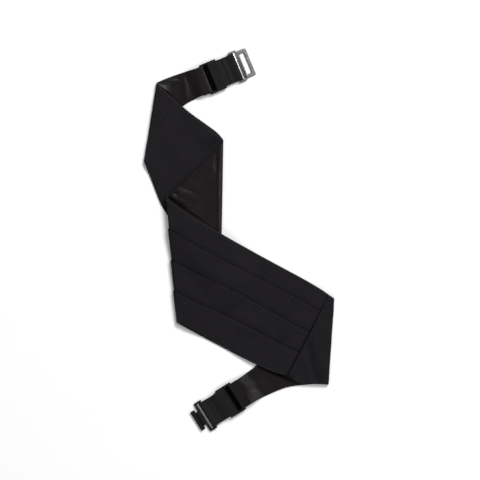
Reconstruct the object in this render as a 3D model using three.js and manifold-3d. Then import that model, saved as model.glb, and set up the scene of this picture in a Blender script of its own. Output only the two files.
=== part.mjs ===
// A pleated cummerbund lying folded flat: one long lined band that is folded under itself
// four times, and at each end of it a slide, an elastic strap and half of the clasp.
// Millimetres, +Z up, the surface it lies on at z = 0.
import * as THREE from 'three';
import { mergeVertices } from 'three/addons/utils/BufferGeometryUtils.js';
import Module from 'manifold-3d';

const wasm = await Module();
wasm.setup();

// The band: a pleated front panel with a plain tapering wing at each side of it.
const PANEL_LENGTH = 330;
const PANEL_WIDTH = 125;
const LEFT_WING_LENGTH = 185.3;
const RIGHT_WING_LENGTH = 165.5;
const SHELL_THICKNESS = 1;
const LINING_THICKNESS = 1;
const TUCK_HEIGHT = 1.2;
const TUCK_LAP = 1.6;
const TUCK_SLOT = 0.3;
const SEAM_GAP = 0.3;
const PLY_GAP = 0.3;
const FOLD_SLACK = 0.4;
const TAB_LENGTH = 10;
const SEAM_INSET = 1.2;

// The strap and what holds it.
const STRAP_WIDTH = 35;
const STRAP_THICKNESS = 1.2;
const UPPER_STRAP_REACH = 40;
const LOWER_STRAP_REACH = 43.4;
const STRAP_RETURN = 13;
const STRAP_TAIL = 8;
const SIDE_CLEARANCE = 0.4;
const BAR_CLEARANCE = 0.3;

// The slide: two side rails and three round bars.
const SLIDE_BAR = 2.4;
const SLIDE_RAIL = 1.8;
const SLIDE_RAIL_HEIGHT = 3.2;
const SLIDE_MIDDLE_BAR = 8.8;
const SLIDE_OUTER_BAR = 18.8;

// The clasp: an eye plate on the upper strap and a hook plate on the lower one.
const CLASP_BAR = 2.6;
const CLASP_CHEEK = 2.3;
const CLASP_BACK = 2.3;
const EYE_THICKNESS = 1.8;
const EYE_SLOT = 4.6;
const EYE_CHEEK_LENGTH = 10.4;
const EYE_WIDTH = 36;
const EYE_ARM = 4.2;
const EYE_CROSSBAR = 5.6;
const EYE_OPENING = 6.3;
const EYE_END_BAR = 4.2;
const HOOK_THICKNESS = 1.2;
const HOOK_SLOT = 5.3;
const HOOK_CHEEK_LENGTH = 10.5;
const HOOK_NECK_WIDTH = 19;
const HOOK_NECK = 3.3;
const HOOK_HEAD_WIDTH = 27;
const HOOK_HEAD = 5.7;
const HOOK_MOUTH = 1.2;

// Where the panel's middle lies and how far its axis is turned, in plan.
const PANEL_MIDDLE = new THREE.Vector2(-60.7, -43.3);
const PANEL_TURN = -28.6;

// How finely the cloth is divided.
const FLAT_SPAN = 13;
const ARC_SPANS = 6;
const ROUND_SIDES = 12;

const END_HALF_WIDTH = STRAP_WIDTH / 2 + 0.1;
const HALF_GAP = PLY_GAP / 2;
const SHELL_FACE = HALF_GAP + SHELL_THICKNESS;
const LINING_FACE = HALF_GAP + LINING_THICKNESS;
const LEFT_SEAM = -PANEL_LENGTH / 2;
const RIGHT_SEAM = PANEL_LENGTH / 2;
const LEFT_END = LEFT_SEAM - LEFT_WING_LENGTH;
const RIGHT_END = RIGHT_SEAM + RIGHT_WING_LENGTH;

// Sections of the panel. at is a share of half the panel's length from its middle, heading the
// way the band's middle line runs there in degrees, above and below the edges' distances from
// that line as shares of half the panel's width, and tuck1 to tuck3 the folded edges of the
// three lower pleats as shares of the width, down from the upper edge.
const PANEL_ROWS = [
  { at: -1.0, heading: -13, above: 0.905, below: 0.88, tuck1: 0.24, tuck2: 0.49, tuck3: 0.73 },
  { at: -0.6, heading: -8, above: 1.02, below: 0.94, tuck1: 0.24, tuck2: 0.49, tuck3: 0.73 },
  { at: -0.3, heading: -5, above: 0.99, below: 0.97, tuck1: 0.238, tuck2: 0.497, tuck3: 0.733 },
  { at: 0.0, heading: -2, above: 1.0, below: 0.99, tuck1: 0.23, tuck2: 0.475, tuck3: 0.737 },
  { at: 0.4, heading: 0, above: 1.0, below: 0.98, tuck1: 0.213, tuck2: 0.44, tuck3: 0.7 },
  { at: 0.75, heading: 1, above: 0.995, below: 0.965, tuck1: 0.208, tuck2: 0.455, tuck3: 0.7 },
  { at: 0.92, heading: 1, above: 0.975, below: 0.93, tuck1: 0.209, tuck2: 0.462, tuck3: 0.71 },
  { at: 1.0, heading: 1, above: 0.95, below: 0.88, tuck1: 0.21, tuck2: 0.465, tuck3: 0.714 },
];

// Sections of the wings. at is a share of the wing's length from its seam, and above and below
// go from 1 at the seam's width to 0 at the strap's.
const LEFT_WING_ROWS = [
  { at: 0.19, heading: -15, above: 0.99, below: 0.77 },
  { at: 0.3, heading: -17, above: 0.84, below: 0.64 },
  { at: 0.46, heading: -19, above: 0.55, below: 0.4 },
  { at: 0.62, heading: -17, above: 0.3, below: 0.13 },
  { at: 0.75, heading: -11, above: 0.18, below: -0.02 },
  { at: 0.89, heading: -4.5, above: 0.06, below: -0.03 },
  { at: 1.0, heading: -1, above: 0.0, below: 0.0 },
];
const RIGHT_WING_ROWS = [
  { at: 0.09, heading: 1, above: 0.95, below: 1.03 },
  { at: 0.15, heading: 1, above: 0.865, below: 0.955 },
  { at: 0.27, heading: 0, above: 0.65, below: 0.71 },
  { at: 0.39, heading: -1, above: 0.435, below: 0.47 },
  { at: 0.51, heading: -3, above: 0.27, below: 0.29 },
  { at: 0.63, heading: -6, above: 0.14, below: 0.135 },
  { at: 0.76, heading: -9, above: 0.045, below: 0.06 },
  { at: 0.9, heading: -11, above: 0.0, below: 0.0 },
  { at: 1.0, heading: -11, above: 0.0, below: 0.0 },
];

// The folds of each side, from the panel outwards. at is where the fold starts on the middle
// line, skew its turn away from straight across in degrees, radius that of its round at the gap
// between shell and lining, foot how far the ply beyond it reaches down from that gap, and run
// the distance over which the plies above slope down from that ply to what lies around it.
const PRESSED = LINING_FACE + FOLD_SLACK;
const PRESSED_ON_TUCKS = SHELL_FACE + TUCK_HEIGHT + FOLD_SLACK;
const ROUND_BAR = SHELL_FACE + BAR_CLEARANCE + SLIDE_BAR / 2;
const LEFT_FOLDS = [
  { at: -0.155 * RIGHT_SEAM, skew: 36.7, radius: PRESSED, foot: SHELL_FACE + TUCK_HEIGHT, run: 45 },
  { at: -0.673 * RIGHT_SEAM, skew: 47.8, radius: PRESSED_ON_TUCKS, foot: LINING_FACE, run: 45 },
  { at: LEFT_SEAM - 0.552 * LEFT_WING_LENGTH, skew: 49.2, radius: PRESSED, foot: SHELL_FACE, run: 45 },
  { at: LEFT_END, skew: 0, radius: ROUND_BAR, foot: LINING_FACE, run: 28 },
];
const RIGHT_FOLDS = [
  { at: RIGHT_SEAM + 0.187 * RIGHT_WING_LENGTH, skew: 24.1, radius: PRESSED, foot: SHELL_FACE, run: 45 },
  { at: RIGHT_END, skew: 0, radius: ROUND_BAR, foot: LINING_FACE, run: 28 },
];

const { degToRad, smoothstep, lerp } = THREE.MathUtils;

// The rows of all three tables as stations along the middle line, with lengths in millimetres.
function makeStations() {
  const half = PANEL_WIDTH / 2;
  const panel = PANEL_ROWS.map((row) => ({
    ...row, s: row.at * RIGHT_SEAM, above: row.above * half, below: row.below * half,
  }));
  const wing = (rows, seam, length) => rows.map((row) => ({
    ...seam,
    s: seam.s + length * row.at,
    heading: row.heading,
    above: lerp(END_HALF_WIDTH, seam.above, row.above),
    below: lerp(END_HALF_WIDTH, seam.below, row.below),
  }));
  const left = wing(LEFT_WING_ROWS, panel[0], -LEFT_WING_LENGTH);
  const right = wing(RIGHT_WING_ROWS, panel[panel.length - 1], RIGHT_WING_LENGTH);
  return [...left.reverse(), ...panel, ...right];
}
const stations = makeStations();

// A column of the stations as a smooth function of the length along the middle line, level
// beyond the ends.
function smoothColumn(name) {
  const slopes = stations.map((station, i) => {
    const before = stations[Math.max(i - 1, 0)];
    const after = stations[Math.min(i + 1, stations.length - 1)];
    const inside = i > 0 && i < stations.length - 1;
    return inside ? (after[name] - before[name]) / (after.s - before.s) : 0;
  });
  return (s) => {
    if (s <= stations[0].s) return stations[0][name];
    if (s >= stations[stations.length - 1].s) return stations[stations.length - 1][name];
    const i = stations.findIndex((station) => station.s > s) - 1;
    const a = stations[i];
    const b = stations[i + 1];
    const gap = b.s - a.s;
    const t = (s - a.s) / gap;
    const rise = (2 * t - 3) * t * t + 1;
    return a[name] * rise + b[name] * (1 - rise)
      + gap * t * (1 - t) * ((1 - t) * slopes[i] - t * slopes[i + 1]);
  };
}
const columns = {};
for (const name of ['heading', 'above', 'below', 'tuck1', 'tuck2', 'tuck3']) {
  columns[name] = smoothColumn(name);
}
const heading = (s) => degToRad(columns.heading(s));

// The middle line in the flat pattern, summed from its heading in small steps.
const LINE_STEP = 1;
const LINE_MARGIN = 40;
const LINE_START = LEFT_END - LINE_MARGIN;
const LINE_END = RIGHT_END + LINE_MARGIN;
function makeMiddleLine() {
  const points = [new THREE.Vector2(0, 0)];
  for (let s = LINE_START; s < LINE_END; s += LINE_STEP) {
    const turn = heading(s + LINE_STEP / 2);
    const last = points[points.length - 1];
    points.push(new THREE.Vector2(last.x + LINE_STEP * Math.cos(turn), last.y + LINE_STEP * Math.sin(turn)));
  }
  const place = -LINE_START / LINE_STEP;
  const i = Math.floor(place);
  const middle = points[i].clone().lerp(points[i + 1], place - i);
  return points.map((point) => point.sub(middle));
}
const middleLine = makeMiddleLine();
function centre(s) {
  const place = THREE.MathUtils.clamp((s - LINE_START) / LINE_STEP, 0, middleLine.length - 1.001);
  const i = Math.floor(place);
  return middleLine[i].clone().lerp(middleLine[i + 1], place - i);
}
const along = (angle) => new THREE.Vector2(Math.cos(angle), Math.sin(angle));

// The lines that run the length of the band: its edges and the folded edges of its pleats.
function lengthwise(offset) {
  const points = [];
  for (let s = LINE_START; s < LINE_END; s += 2) {
    points.push(centre(s).addScaledVector(along(heading(s) + Math.PI / 2), offset(s)));
  }
  return points;
}
const below = (s) => -columns.below(s);
const tuck = (name) => (s) => lerp(columns.above(s), below(s), columns[name](s));
const LENGTHWISE = [below, tuck('tuck3'), tuck('tuck2'), tuck('tuck1'), columns.above].map(lengthwise);

// How far along a line across the band, from its start on the middle line, it meets a
// lengthwise line.
function crossing(start, direction, line) {
  const side = (point) => direction.x * (point.y - start.y) - direction.y * (point.x - start.x);
  let best = Infinity;
  for (let i = 0; i + 1 < line.length; i += 1) {
    const a = side(line[i]);
    const b = side(line[i + 1]);
    if (a * b <= 0 && a !== b) {
      const point = line[i].clone().lerp(line[i + 1], a / (a - b));
      const offset = point.sub(start).dot(direction);
      if (Math.abs(offset) < Math.abs(best)) best = offset;
    }
  }
  return best;
}

// A ruling is a straight line across the band. Its marks are the edges, the pleats' folded
// edges and a point halfway between each two of them, from the lower edge up.
const MARKS = 2 * LENGTHWISE.length - 1;
function makeRuling(s, angle) {
  const start = centre(s);
  const direction = along(angle);
  const main = LENGTHWISE.map((line) => crossing(start, direction, line));
  const marks = main.flatMap((k, i) => (i === 0 ? [k] : [(main[i - 1] + k) / 2, k]));
  return { s, start, direction, marks };
}

// Each fold gets its line in the pattern: a point, and the direction away from the panel.
function setFold(fold, sign) {
  const angle = heading(fold.at) + Math.PI / 2 + degToRad(fold.skew);
  const across = along(angle);
  const slant = Math.cos(degToRad(fold.skew));
  return {
    ...fold, angle, point: centre(fold.at), away: new THREE.Vector2(-across.y, across.x).multiplyScalar(-sign),
    end: fold.at + sign * Math.PI * fold.radius / slant,
  };
}
const leftFolds = LEFT_FOLDS.map((fold) => setFold(fold, -1));
const rightFolds = RIGHT_FOLDS.map((fold) => setFold(fold, 1));

// Folds a point of the flat pattern, at a height above the gap between shell and lining. A fold
// is a half turn of a cylinder, first with the shell outside and then by turns.
function fold(point, height) {
  const folds = point.x < RIGHT_SEAM / 2 ? leftFolds : rightFolds;
  const reach = folds.map((item) => point.clone().sub(item.point).dot(item.away));
  let last = -1;
  while (last + 1 < folds.length && reach[last + 1] > 0
    && (last < 0 || reach[last] > Math.PI * folds[last].radius)) last += 1;
  const spot = new THREE.Vector3(point.x, point.y, height);
  for (let i = last; i >= 0; i -= 1) {
    const { radius, away } = folds[i];
    const outside = i % 2 === 0 ? 1 : -1;
    const distance = (spot.x - folds[i].point.x) * away.x + (spot.y - folds[i].point.y) * away.y;
    const turn = Math.min(distance / radius, Math.PI);
    const turned = i === last && turn < Math.PI
      ? (radius + outside * spot.z) * Math.sin(turn) : Math.PI * radius - distance;
    const risen = i === last && turn < Math.PI
      ? outside * ((radius + outside * spot.z) * Math.cos(turn) - radius) : -2 * outside * radius - spot.z;
    spot.set(spot.x + away.x * (turned - distance), spot.y + away.y * (turned - distance), risen);
  }
  const turn = degToRad(PANEL_TURN);
  return new THREE.Vector3(
    PANEL_MIDDLE.x + spot.x * Math.cos(turn) - spot.y * Math.sin(turn),
    PANEL_MIDDLE.y + spot.x * Math.sin(turn) + spot.y * Math.cos(turn),
    spot.z,
  );
}

// The ruling between two others that passes through a point.
function keyThrough(point, from, to) {
  let low = 0;
  let high = 1;
  const key = (share) => ({ s: lerp(from.s, to.s, share), angle: lerp(from.angle, to.angle, share) });
  while (high - low > 1e-6) {
    const share = (low + high) / 2;
    const { s, angle } = key(share);
    if (point.clone().sub(centre(s)).cross(along(angle)) > 0) low = share;
    else high = share;
  }
  return key(low);
}

// A point of the left seam, moved to the right of it and inwards from one of its ends.
function seamEnd(side, shift, inset) {
  const angle = heading(LEFT_SEAM);
  const reach = side > 0 ? columns.above(LEFT_SEAM) : columns.below(LEFT_SEAM);
  return centre(LEFT_SEAM).addScaledVector(along(angle), shift)
    .addScaledVector(along(angle + Math.PI / 2), side * (reach - inset));
}

// The rulings of the whole band, from the left tab to the right one: parallel to each fold in
// its round, straight across at the right seam and the ends, through the ends of the left seam,
// and turning evenly in between.
function makeRulings() {
  const keys = [];
  for (const item of [...leftFolds].reverse()) {
    keys.push({ s: item.end, angle: item.angle, spans: ARC_SPANS }, { s: item.at, angle: item.angle });
  }
  const seamSpan = keys.findIndex(({ s }) => s > LEFT_SEAM);
  const beside = [keys[seamSpan - 1], keys[seamSpan]];
  keys.splice(
    seamSpan, 0, keyThrough(seamEnd(-1, SEAM_GAP / 2, SEAM_INSET), ...beside),
    keyThrough(seamEnd(1, -SEAM_GAP / 2, SEAM_INSET), ...beside),
  );
  keys.push({ s: RIGHT_SEAM, angle: heading(RIGHT_SEAM) + Math.PI / 2 });
  for (const item of rightFolds) {
    keys.push({ s: item.at, angle: item.angle, spans: ARC_SPANS }, { s: item.end, angle: item.angle });
  }
  keys.unshift({ s: keys[0].s - TAB_LENGTH, angle: keys[0].angle, spans: 1 });
  const end = keys[keys.length - 1];
  end.spans = 1;
  keys.push({ s: end.s + TAB_LENGTH, angle: end.angle });
  const list = [];
  keys.slice(1).forEach((to, i) => {
    const from = keys[i];
    const spans = from.spans ?? Math.ceil((to.s - from.s) / FLAT_SPAN);
    for (let n = 0; n < spans; n += 1) {
      list.push(makeRuling(lerp(from.s, to.s, n / spans), lerp(from.angle, to.angle, n / spans)));
    }
  });
  list.push(makeRuling(keys[keys.length - 1].s, keys[keys.length - 1].angle));
  return list;
}
const rulings = makeRulings();

// A point of a ruling in the flat pattern, k from the middle line.
const onRuling = (ruling, k) => ruling.start.clone().addScaledVector(ruling.direction, k);

// The outline in plan of the ply beyond each fold, from the middle of that fold's round to the
// middle of the next one's, and how far that ply's underside lies below the panel's.
function makePlies(folds) {
  let depth = 0;
  return folds.map((item, i) => {
    const sign = Math.sign(item.end - item.at);
    const next = folds[i + 1];
    const limit = next ? next.at : item.end + sign * TAB_LENGTH;
    const between = rulings.filter(({ s }) => (s - item.end) * sign > 0 && (limit - s) * sign > 0);
    if (sign < 0) between.reverse();
    const from = makeRuling((item.at + item.end) / 2, item.angle);
    const to = next ? makeRuling((next.at + next.end) / 2, next.angle) : makeRuling(limit, item.angle);
    const rows = [from, ...between, to];
    const lower = rows.map((row) => fold(onRuling(row, row.marks[0]), 0));
    const upper = rows.map((row) => fold(onRuling(row, row.marks[row.marks.length - 1]), 0));
    depth += 2 * item.radius;
    return { outline: [...lower, ...upper.reverse()], depth: depth + item.foot - LINING_FACE, run: item.run };
  });
}
const plies = [...makePlies(leftFolds), ...makePlies(rightFolds)];

// The distance in plan from a point to an outline, none inside it.
function distanceTo(outline, x, y) {
  let inside = false;
  let nearest = Infinity;
  outline.forEach((a, i) => {
    const b = outline[(i + 1) % outline.length];
    if ((a.y > y) !== (b.y > y) && x < a.x + (b.x - a.x) * (y - a.y) / (b.y - a.y)) inside = !inside;
    const length = (b.x - a.x) ** 2 + (b.y - a.y) ** 2;
    const share = ((x - a.x) * (b.x - a.x) + (y - a.y) * (b.y - a.y)) / Math.max(length, 1e-9);
    const t = THREE.MathUtils.clamp(share, 0, 1);
    nearest = Math.min(nearest, Math.hypot(x - a.x - t * (b.x - a.x), y - a.y - t * (b.y - a.y)));
  });
  return inside ? 0 : nearest;
}

// The height of the panel's ply over the floor: the lowest ply under a point lifts all those
// above it, and they slope down again past its edges.
function drape(x, y) {
  const lifts = plies.map(({ outline, depth, run }) => (
    depth * (1 - smoothstep(distanceTo(outline, x, y), 0, run))));
  return LINING_FACE + Math.max(0, ...lifts);
}
function place(ruling, k, height) {
  const spot = fold(onRuling(ruling, k), height);
  spot.z += drape(spot.x, spot.y);
  return spot;
}

// A closed solid through sections of equal count. Each section is a ruling with an outline of
// corners k along the ruling and h above the gap, counter-clockwise as seen from the right and
// starting with the lower face. The faces that lie on each other are divided the same way.
function clothSolid(sections) {
  const count = sections[0].outline.length;
  const positions = [];
  for (const { ruling, outline } of sections) {
    for (const corner of outline) positions.push(...place(ruling, corner.x, corner.y).toArray());
  }
  const index = [];
  for (let j = 0; j + 1 < sections.length; j += 1) {
    for (let i = 0; i < count; i += 1) {
      const a = j * count + i;
      const b = j * count + (i + 1) % count;
      if (i < MARKS - 1) index.push(a, b, b + count, a, b + count, a + count);
      else index.push(a, b, a + count, b, b + count, a + count);
    }
  }
  const cap = (j, flip) => {
    for (const [a, b, c] of THREE.ShapeUtils.triangulateShape(sections[j].outline, [])) {
      const base = j * count;
      index.push(...(flip ? [base + a, base + c, base + b] : [base + a, base + b, base + c]));
    }
  };
  cap(0, true);
  cap(sections.length - 1, false);
  const geometry = new THREE.BufferGeometry();
  geometry.setAttribute('position', new THREE.Float32BufferAttribute(positions, 3));
  geometry.setIndex(index);
  geometry.computeVertexNormals();
  return geometry;
}
const corner = (k, h) => new THREE.Vector2(k, h);

// A plain layer of cloth between two heights, over the ruling's marks.
function plainOutline(marks, low, high) {
  const under = marks.map((k) => corner(k, low));
  const over = marks.map((k) => corner(k, high)).reverse();
  return [...under, ...over];
}

// The pleated shell: each pleat slopes from its folded edge down to the next one, and each
// folded edge laps over the pleat above with a thin slot under it.
function pleatedOutline(marks) {
  const under = marks.map((k) => corner(k, HALF_GAP));
  const low = SHELL_FACE;
  const high = SHELL_FACE + TUCK_HEIGHT;
  const middle = (low + high) / 2;
  const over = [corner(marks[8], low), corner(marks[7], low)];
  for (const i of [6, 4, 2]) {
    const back = marks[i] - Math.min(TUCK_LAP, (marks[i] - marks[i - 1]) / 2);
    over.push(
      corner(back, low), corner(back, low + TUCK_SLOT), corner(marks[i], low + TUCK_SLOT),
      corner(marks[i], high - TUCK_SLOT), corner(back, high), corner(marks[i - 1], middle),
    );
  }
  over.push(corner(marks[0], low));
  return [...under, ...over];
}

// Where a ruling meets the left seam, moved along the band by a part of the seam's gap.
function seamCrossing(ruling, shift) {
  const tangent = along(heading(LEFT_SEAM));
  const seam = centre(LEFT_SEAM).addScaledVector(tangent, shift);
  const slant = ruling.direction.dot(tangent);
  return seam.sub(ruling.start).dot(tangent) / slant;
}

// The marks of a ruling that lie in one part of it, squeezed together past that part's end.
const SQUEEZE = 0.1;
function marksBelow(marks, limit) {
  const top = marks.length - 1;
  return marks.map((k, i) => Math.min(k, limit - (top - i) * SQUEEZE));
}
function marksAbove(marks, limit) {
  return marks.map((k, i) => Math.max(k, limit + i * SQUEEZE));
}
const LEAST_WIDTH = 8.5 * SQUEEZE;

function makeLining() {
  return clothSolid(rulings.map((ruling) => (
    { ruling, outline: plainOutline(ruling.marks, -LINING_FACE, -HALF_GAP) })));
}

function makePanel() {
  const rows = rulings.filter((ruling) => ruling.s < RIGHT_SEAM - SEAM_GAP);
  rows.push(makeRuling(RIGHT_SEAM - SEAM_GAP / 2, heading(RIGHT_SEAM) + Math.PI / 2));
  const sections = [];
  for (const ruling of rows) {
    const slanted = ruling.s < LEFT_SEAM / 4;
    const limit = slanted ? seamCrossing(ruling, SEAM_GAP / 2) : Infinity;
    if (limit - ruling.marks[0] > LEAST_WIDTH) {
      sections.push({ ruling, outline: pleatedOutline(marksBelow(ruling.marks, limit)) });
    }
  }
  return clothSolid(sections);
}

function makeLeftWing() {
  const sections = [];
  for (const ruling of rulings.filter(({ s }) => s < LEFT_SEAM / 4)) {
    const limit = seamCrossing(ruling, -SEAM_GAP / 2);
    const top = ruling.marks[ruling.marks.length - 1];
    if (top - limit > LEAST_WIDTH) {
      const marks = marksAbove(ruling.marks, limit);
      sections.push({ ruling, outline: plainOutline(marks, HALF_GAP, SHELL_FACE) });
    }
  }
  return clothSolid(sections);
}

function makeRightWing() {
  const rows = rulings.filter((ruling) => ruling.s > RIGHT_SEAM + SEAM_GAP);
  rows.unshift(makeRuling(RIGHT_SEAM + SEAM_GAP / 2, heading(RIGHT_SEAM) + Math.PI / 2));
  return clothSolid(rows.map((ruling) => (
    { ruling, outline: plainOutline(ruling.marks, HALF_GAP, SHELL_FACE) })));
}

// Joining of solids.
function toSolid(geometry) {
  const bare = geometry.clone();
  bare.deleteAttribute('normal');
  bare.deleteAttribute('uv');
  const merged = mergeVertices(bare, 1e-4);
  return new wasm.Manifold(new wasm.Mesh({
    numProp: 3,
    vertProperties: merged.attributes.position.array,
    triVerts: Uint32Array.from(merged.index.array),
  }));
}
function join(geometries) {
  const whole = geometries.map(toSolid).reduce((sum, solid) => sum.add(solid)).getMesh();
  const geometry = new THREE.BufferGeometry();
  geometry.setAttribute('position', new THREE.Float32BufferAttribute(whole.vertProperties, 3));
  geometry.setIndex(Array.from(whole.triVerts));
  geometry.computeVertexNormals();
  return geometry;
}

// A round bar along Y, centred on x and z.
function bar(diameter, length, x, z) {
  return new THREE.CylinderGeometry(diameter / 2, diameter / 2, length, ROUND_SIDES).translate(x, 0, z);
}
// An outline of x and z carried along Y, centred on y.
function acrossPrism(outline, width, y) {
  const shape = new THREE.Shape(outline);
  return new THREE.ExtrudeGeometry(shape, { depth: width, bevelEnabled: false })
    .rotateX(Math.PI / 2).translate(0, y + width / 2, 0);
}
// An outline of x and y with its thickness along Z, centred on z.
function plate(shape, thickness, z) {
  return new THREE.ExtrudeGeometry(shape, { depth: thickness, bevelEnabled: false, curveSegments: 5 })
    .translate(0, 0, z - thickness / 2);
}

const CLEAR_WIDTH = STRAP_WIDTH + 2 * SIDE_CLEARANCE;
const SLIDE_HEIGHT = LINING_FACE + ROUND_BAR;
const STRAP_ROUND_SLIDE = SLIDE_BAR / 2 + BAR_CLEARANCE + STRAP_THICKNESS / 2;
const STRAP_ROUND_CLASP = CLASP_BAR / 2 + BAR_CLEARANCE + STRAP_THICKNESS / 2;
const CLASP_HEIGHT = STRAP_ROUND_CLASP + STRAP_THICKNESS / 2;

// The slide, with the bar that the wing's end goes round at x = 0 and z = 0.
function makeSlide() {
  const radius = SLIDE_RAIL_HEIGHT / 2;
  const rail = new THREE.Shape()
    .absarc(SLIDE_OUTER_BAR, 0, radius, -Math.PI / 2, Math.PI / 2)
    .absarc(0, 0, radius, Math.PI / 2, 3 * Math.PI / 2).getPoints(5);
  const middle = (CLEAR_WIDTH + SLIDE_RAIL) / 2;
  const parts = [acrossPrism(rail, SLIDE_RAIL, -middle), acrossPrism(rail, SLIDE_RAIL, middle)];
  for (const x of [0, SLIDE_MIDDLE_BAR, SLIDE_OUTER_BAR]) {
    parts.push(bar(SLIDE_BAR, CLEAR_WIDTH + SLIDE_RAIL, x, 0));
  }
  return join(parts);
}

// The strap's route in x and z: its tail lies under the slide, it goes round the middle bar and
// over the outer one, down to the clasp, round the clasp's bar and back on top of itself.
function strapRoute(reach) {
  const route = [new THREE.Vector2(SLIDE_OUTER_BAR + STRAP_TAIL, STRAP_THICKNESS * 0.7)];
  route.push(new THREE.Vector2(SLIDE_OUTER_BAR, SLIDE_HEIGHT - STRAP_ROUND_SLIDE));
  const round = (x, z, radius, from, turn) => {
    for (let n = 0; n <= ARC_SPANS; n += 1) {
      const angle = degToRad(from + turn * n / ARC_SPANS);
      route.push(new THREE.Vector2(x + radius * Math.cos(angle), z + radius * Math.sin(angle)));
    }
  };
  round(SLIDE_MIDDLE_BAR, SLIDE_HEIGHT, STRAP_ROUND_SLIDE, -90, -180);
  const high = SLIDE_HEIGHT + STRAP_ROUND_SLIDE;
  const low = CLASP_HEIGHT - STRAP_ROUND_CLASP;
  const top = CLASP_HEIGHT + STRAP_ROUND_CLASP;
  const run = (share) => lerp(high, low, smoothstep(share, 0, 1));
  const span = reach - SLIDE_OUTER_BAR;
  for (const share of [0, 0.2, 0.4, 0.6, 0.8]) {
    route.push(new THREE.Vector2(SLIDE_OUTER_BAR + span * share, run(share)));
  }
  round(reach, CLASP_HEIGHT, STRAP_ROUND_CLASP, -90, 180);
  const rest = STRAP_THICKNESS + PLY_GAP;
  for (const back of [0.3, 0.65, 1]) {
    const share = 1 - back * STRAP_RETURN / span;
    const lift = lerp(top - low, rest, smoothstep(back, 0, 0.75));
    route.push(new THREE.Vector2(reach - back * STRAP_RETURN, run(share) + lift));
  }
  return route;
}

// A strip of even thickness along a route, carried across the strap's width.
function makeStrap(reach) {
  const route = strapRoute(reach);
  const sides = [1, -1].map((side) => route.map((point, i) => {
    const before = route[Math.max(i - 1, 0)];
    const after = route[Math.min(i + 1, route.length - 1)];
    const into = point.clone().sub(before).normalize();
    const out = after.clone().sub(point).normalize();
    const way = into.add(out).normalize();
    const normal = new THREE.Vector2(-way.y, way.x);
    return point.clone().addScaledVector(normal, side * STRAP_THICKNESS / 2);
  }));
  return acrossPrism([...sides[0], ...sides[1].reverse()], STRAP_WIDTH, 0);
}

// The clasp halves, with the bar that the strap goes round at x = 0 and z = 0. Both have cheeks
// at the strap's edges and a slot between the bar and the plate.
const CHEEK_HALF = CLEAR_WIDTH / 2 + CLASP_CHEEK;
function cheekedShape(slot, cheekLength, plateHalf, reach) {
  const front = cheekLength - CLASP_BACK;
  const corners = [
    [-CLASP_BACK, CLEAR_WIDTH / 2], [slot, CLEAR_WIDTH / 2], [slot, -CLEAR_WIDTH / 2],
    [-CLASP_BACK, -CLEAR_WIDTH / 2], [-CLASP_BACK, -CHEEK_HALF + 1], [-CLASP_BACK + 1.6, -CHEEK_HALF],
    [front - 2, -CHEEK_HALF], [front, -CHEEK_HALF + 1.6], [front, -plateHalf], [reach, -plateHalf],
    [reach, plateHalf], [front, plateHalf], [front, CHEEK_HALF - 1.6], [front - 2, CHEEK_HALF],
    [-CLASP_BACK + 1.6, CHEEK_HALF], [-CLASP_BACK, CHEEK_HALF - 1],
  ];
  return new THREE.Shape(corners.map(([x, y]) => new THREE.Vector2(x, y)));
}

const EYE_REACH = EYE_SLOT + EYE_CROSSBAR + EYE_OPENING + EYE_END_BAR;
function makeEye() {
  const shape = cheekedShape(EYE_SLOT, EYE_CHEEK_LENGTH, EYE_WIDTH / 2, EYE_REACH);
  const near = EYE_SLOT + EYE_CROSSBAR;
  const half = EYE_WIDTH / 2 - EYE_ARM;
  const hole = [[near, -half], [near, half], [near + EYE_OPENING, half], [near + EYE_OPENING, -half]];
  shape.holes.push(new THREE.Path(hole.map(([x, y]) => new THREE.Vector2(x, y))));
  return join([plate(shape, EYE_THICKNESS, 0), bar(CLASP_BAR, CLEAR_WIDTH + CLASP_CHEEK, 0, 0)]);
}

const HOOK_FRAME = HOOK_CHEEK_LENGTH - CLASP_BACK;
const HOOK_REACH = HOOK_FRAME + HOOK_NECK + HOOK_HEAD;
function makeHook() {
  const frame = cheekedShape(HOOK_SLOT, HOOK_CHEEK_LENGTH, HOOK_NECK_WIDTH / 2, HOOK_FRAME + HOOK_NECK + 1);
  const outer = HOOK_THICKNESS + HOOK_MOUTH / 2;
  const bend = HOOK_REACH - outer;
  const rise = HOOK_MOUTH / 2 + HOOK_THICKNESS / 2;
  const lip = HOOK_FRAME + HOOK_NECK;
  const head = new THREE.Shape()
    .moveTo(lip, -HOOK_THICKNESS / 2)
    .absarc(bend, rise, outer, -Math.PI / 2, Math.PI / 2)
    .lineTo(lip, rise + outer)
    .lineTo(lip, rise + HOOK_MOUTH / 2)
    .absarc(bend, rise, HOOK_MOUTH / 2, Math.PI / 2, -Math.PI / 2, true)
    .lineTo(lip, HOOK_THICKNESS / 2);
  return join([
    plate(frame, HOOK_THICKNESS, 0), bar(CLASP_BAR, CLEAR_WIDTH + CLASP_CHEEK, 0, 0),
    acrossPrism(head.getPoints(5), HOOK_HEAD_WIDTH, 0),
  ]);
}

const finishes = {
  shell: { color: 0x201f21, roughness: 0.8, metalness: 0 },
  satin: { color: 0x2b2425, roughness: 0.45, metalness: 0 },
  elastic: { color: 0x29272a, roughness: 0.75, metalness: 0 },
  blackMetal: { color: 0x222126, roughness: 0.35, metalness: 0.8 },
  brightMetal: { color: 0xb4b4ba, roughness: 0.25, metalness: 1 },
};
function piece(name, geometry, finish) {
  const mesh = new THREE.Mesh(geometry, new THREE.MeshStandardMaterial(finishes[finish]));
  mesh.name = name;
  return mesh;
}

const group = new THREE.Group();
group.add(
  piece('pleated_panel', makePanel(), 'shell'),
  piece('wing_shell_left', makeLeftWing(), 'shell'),
  piece('wing_shell_right', makeRightWing(), 'shell'),
  piece('lining', makeLining(), 'satin'),
);

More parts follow.
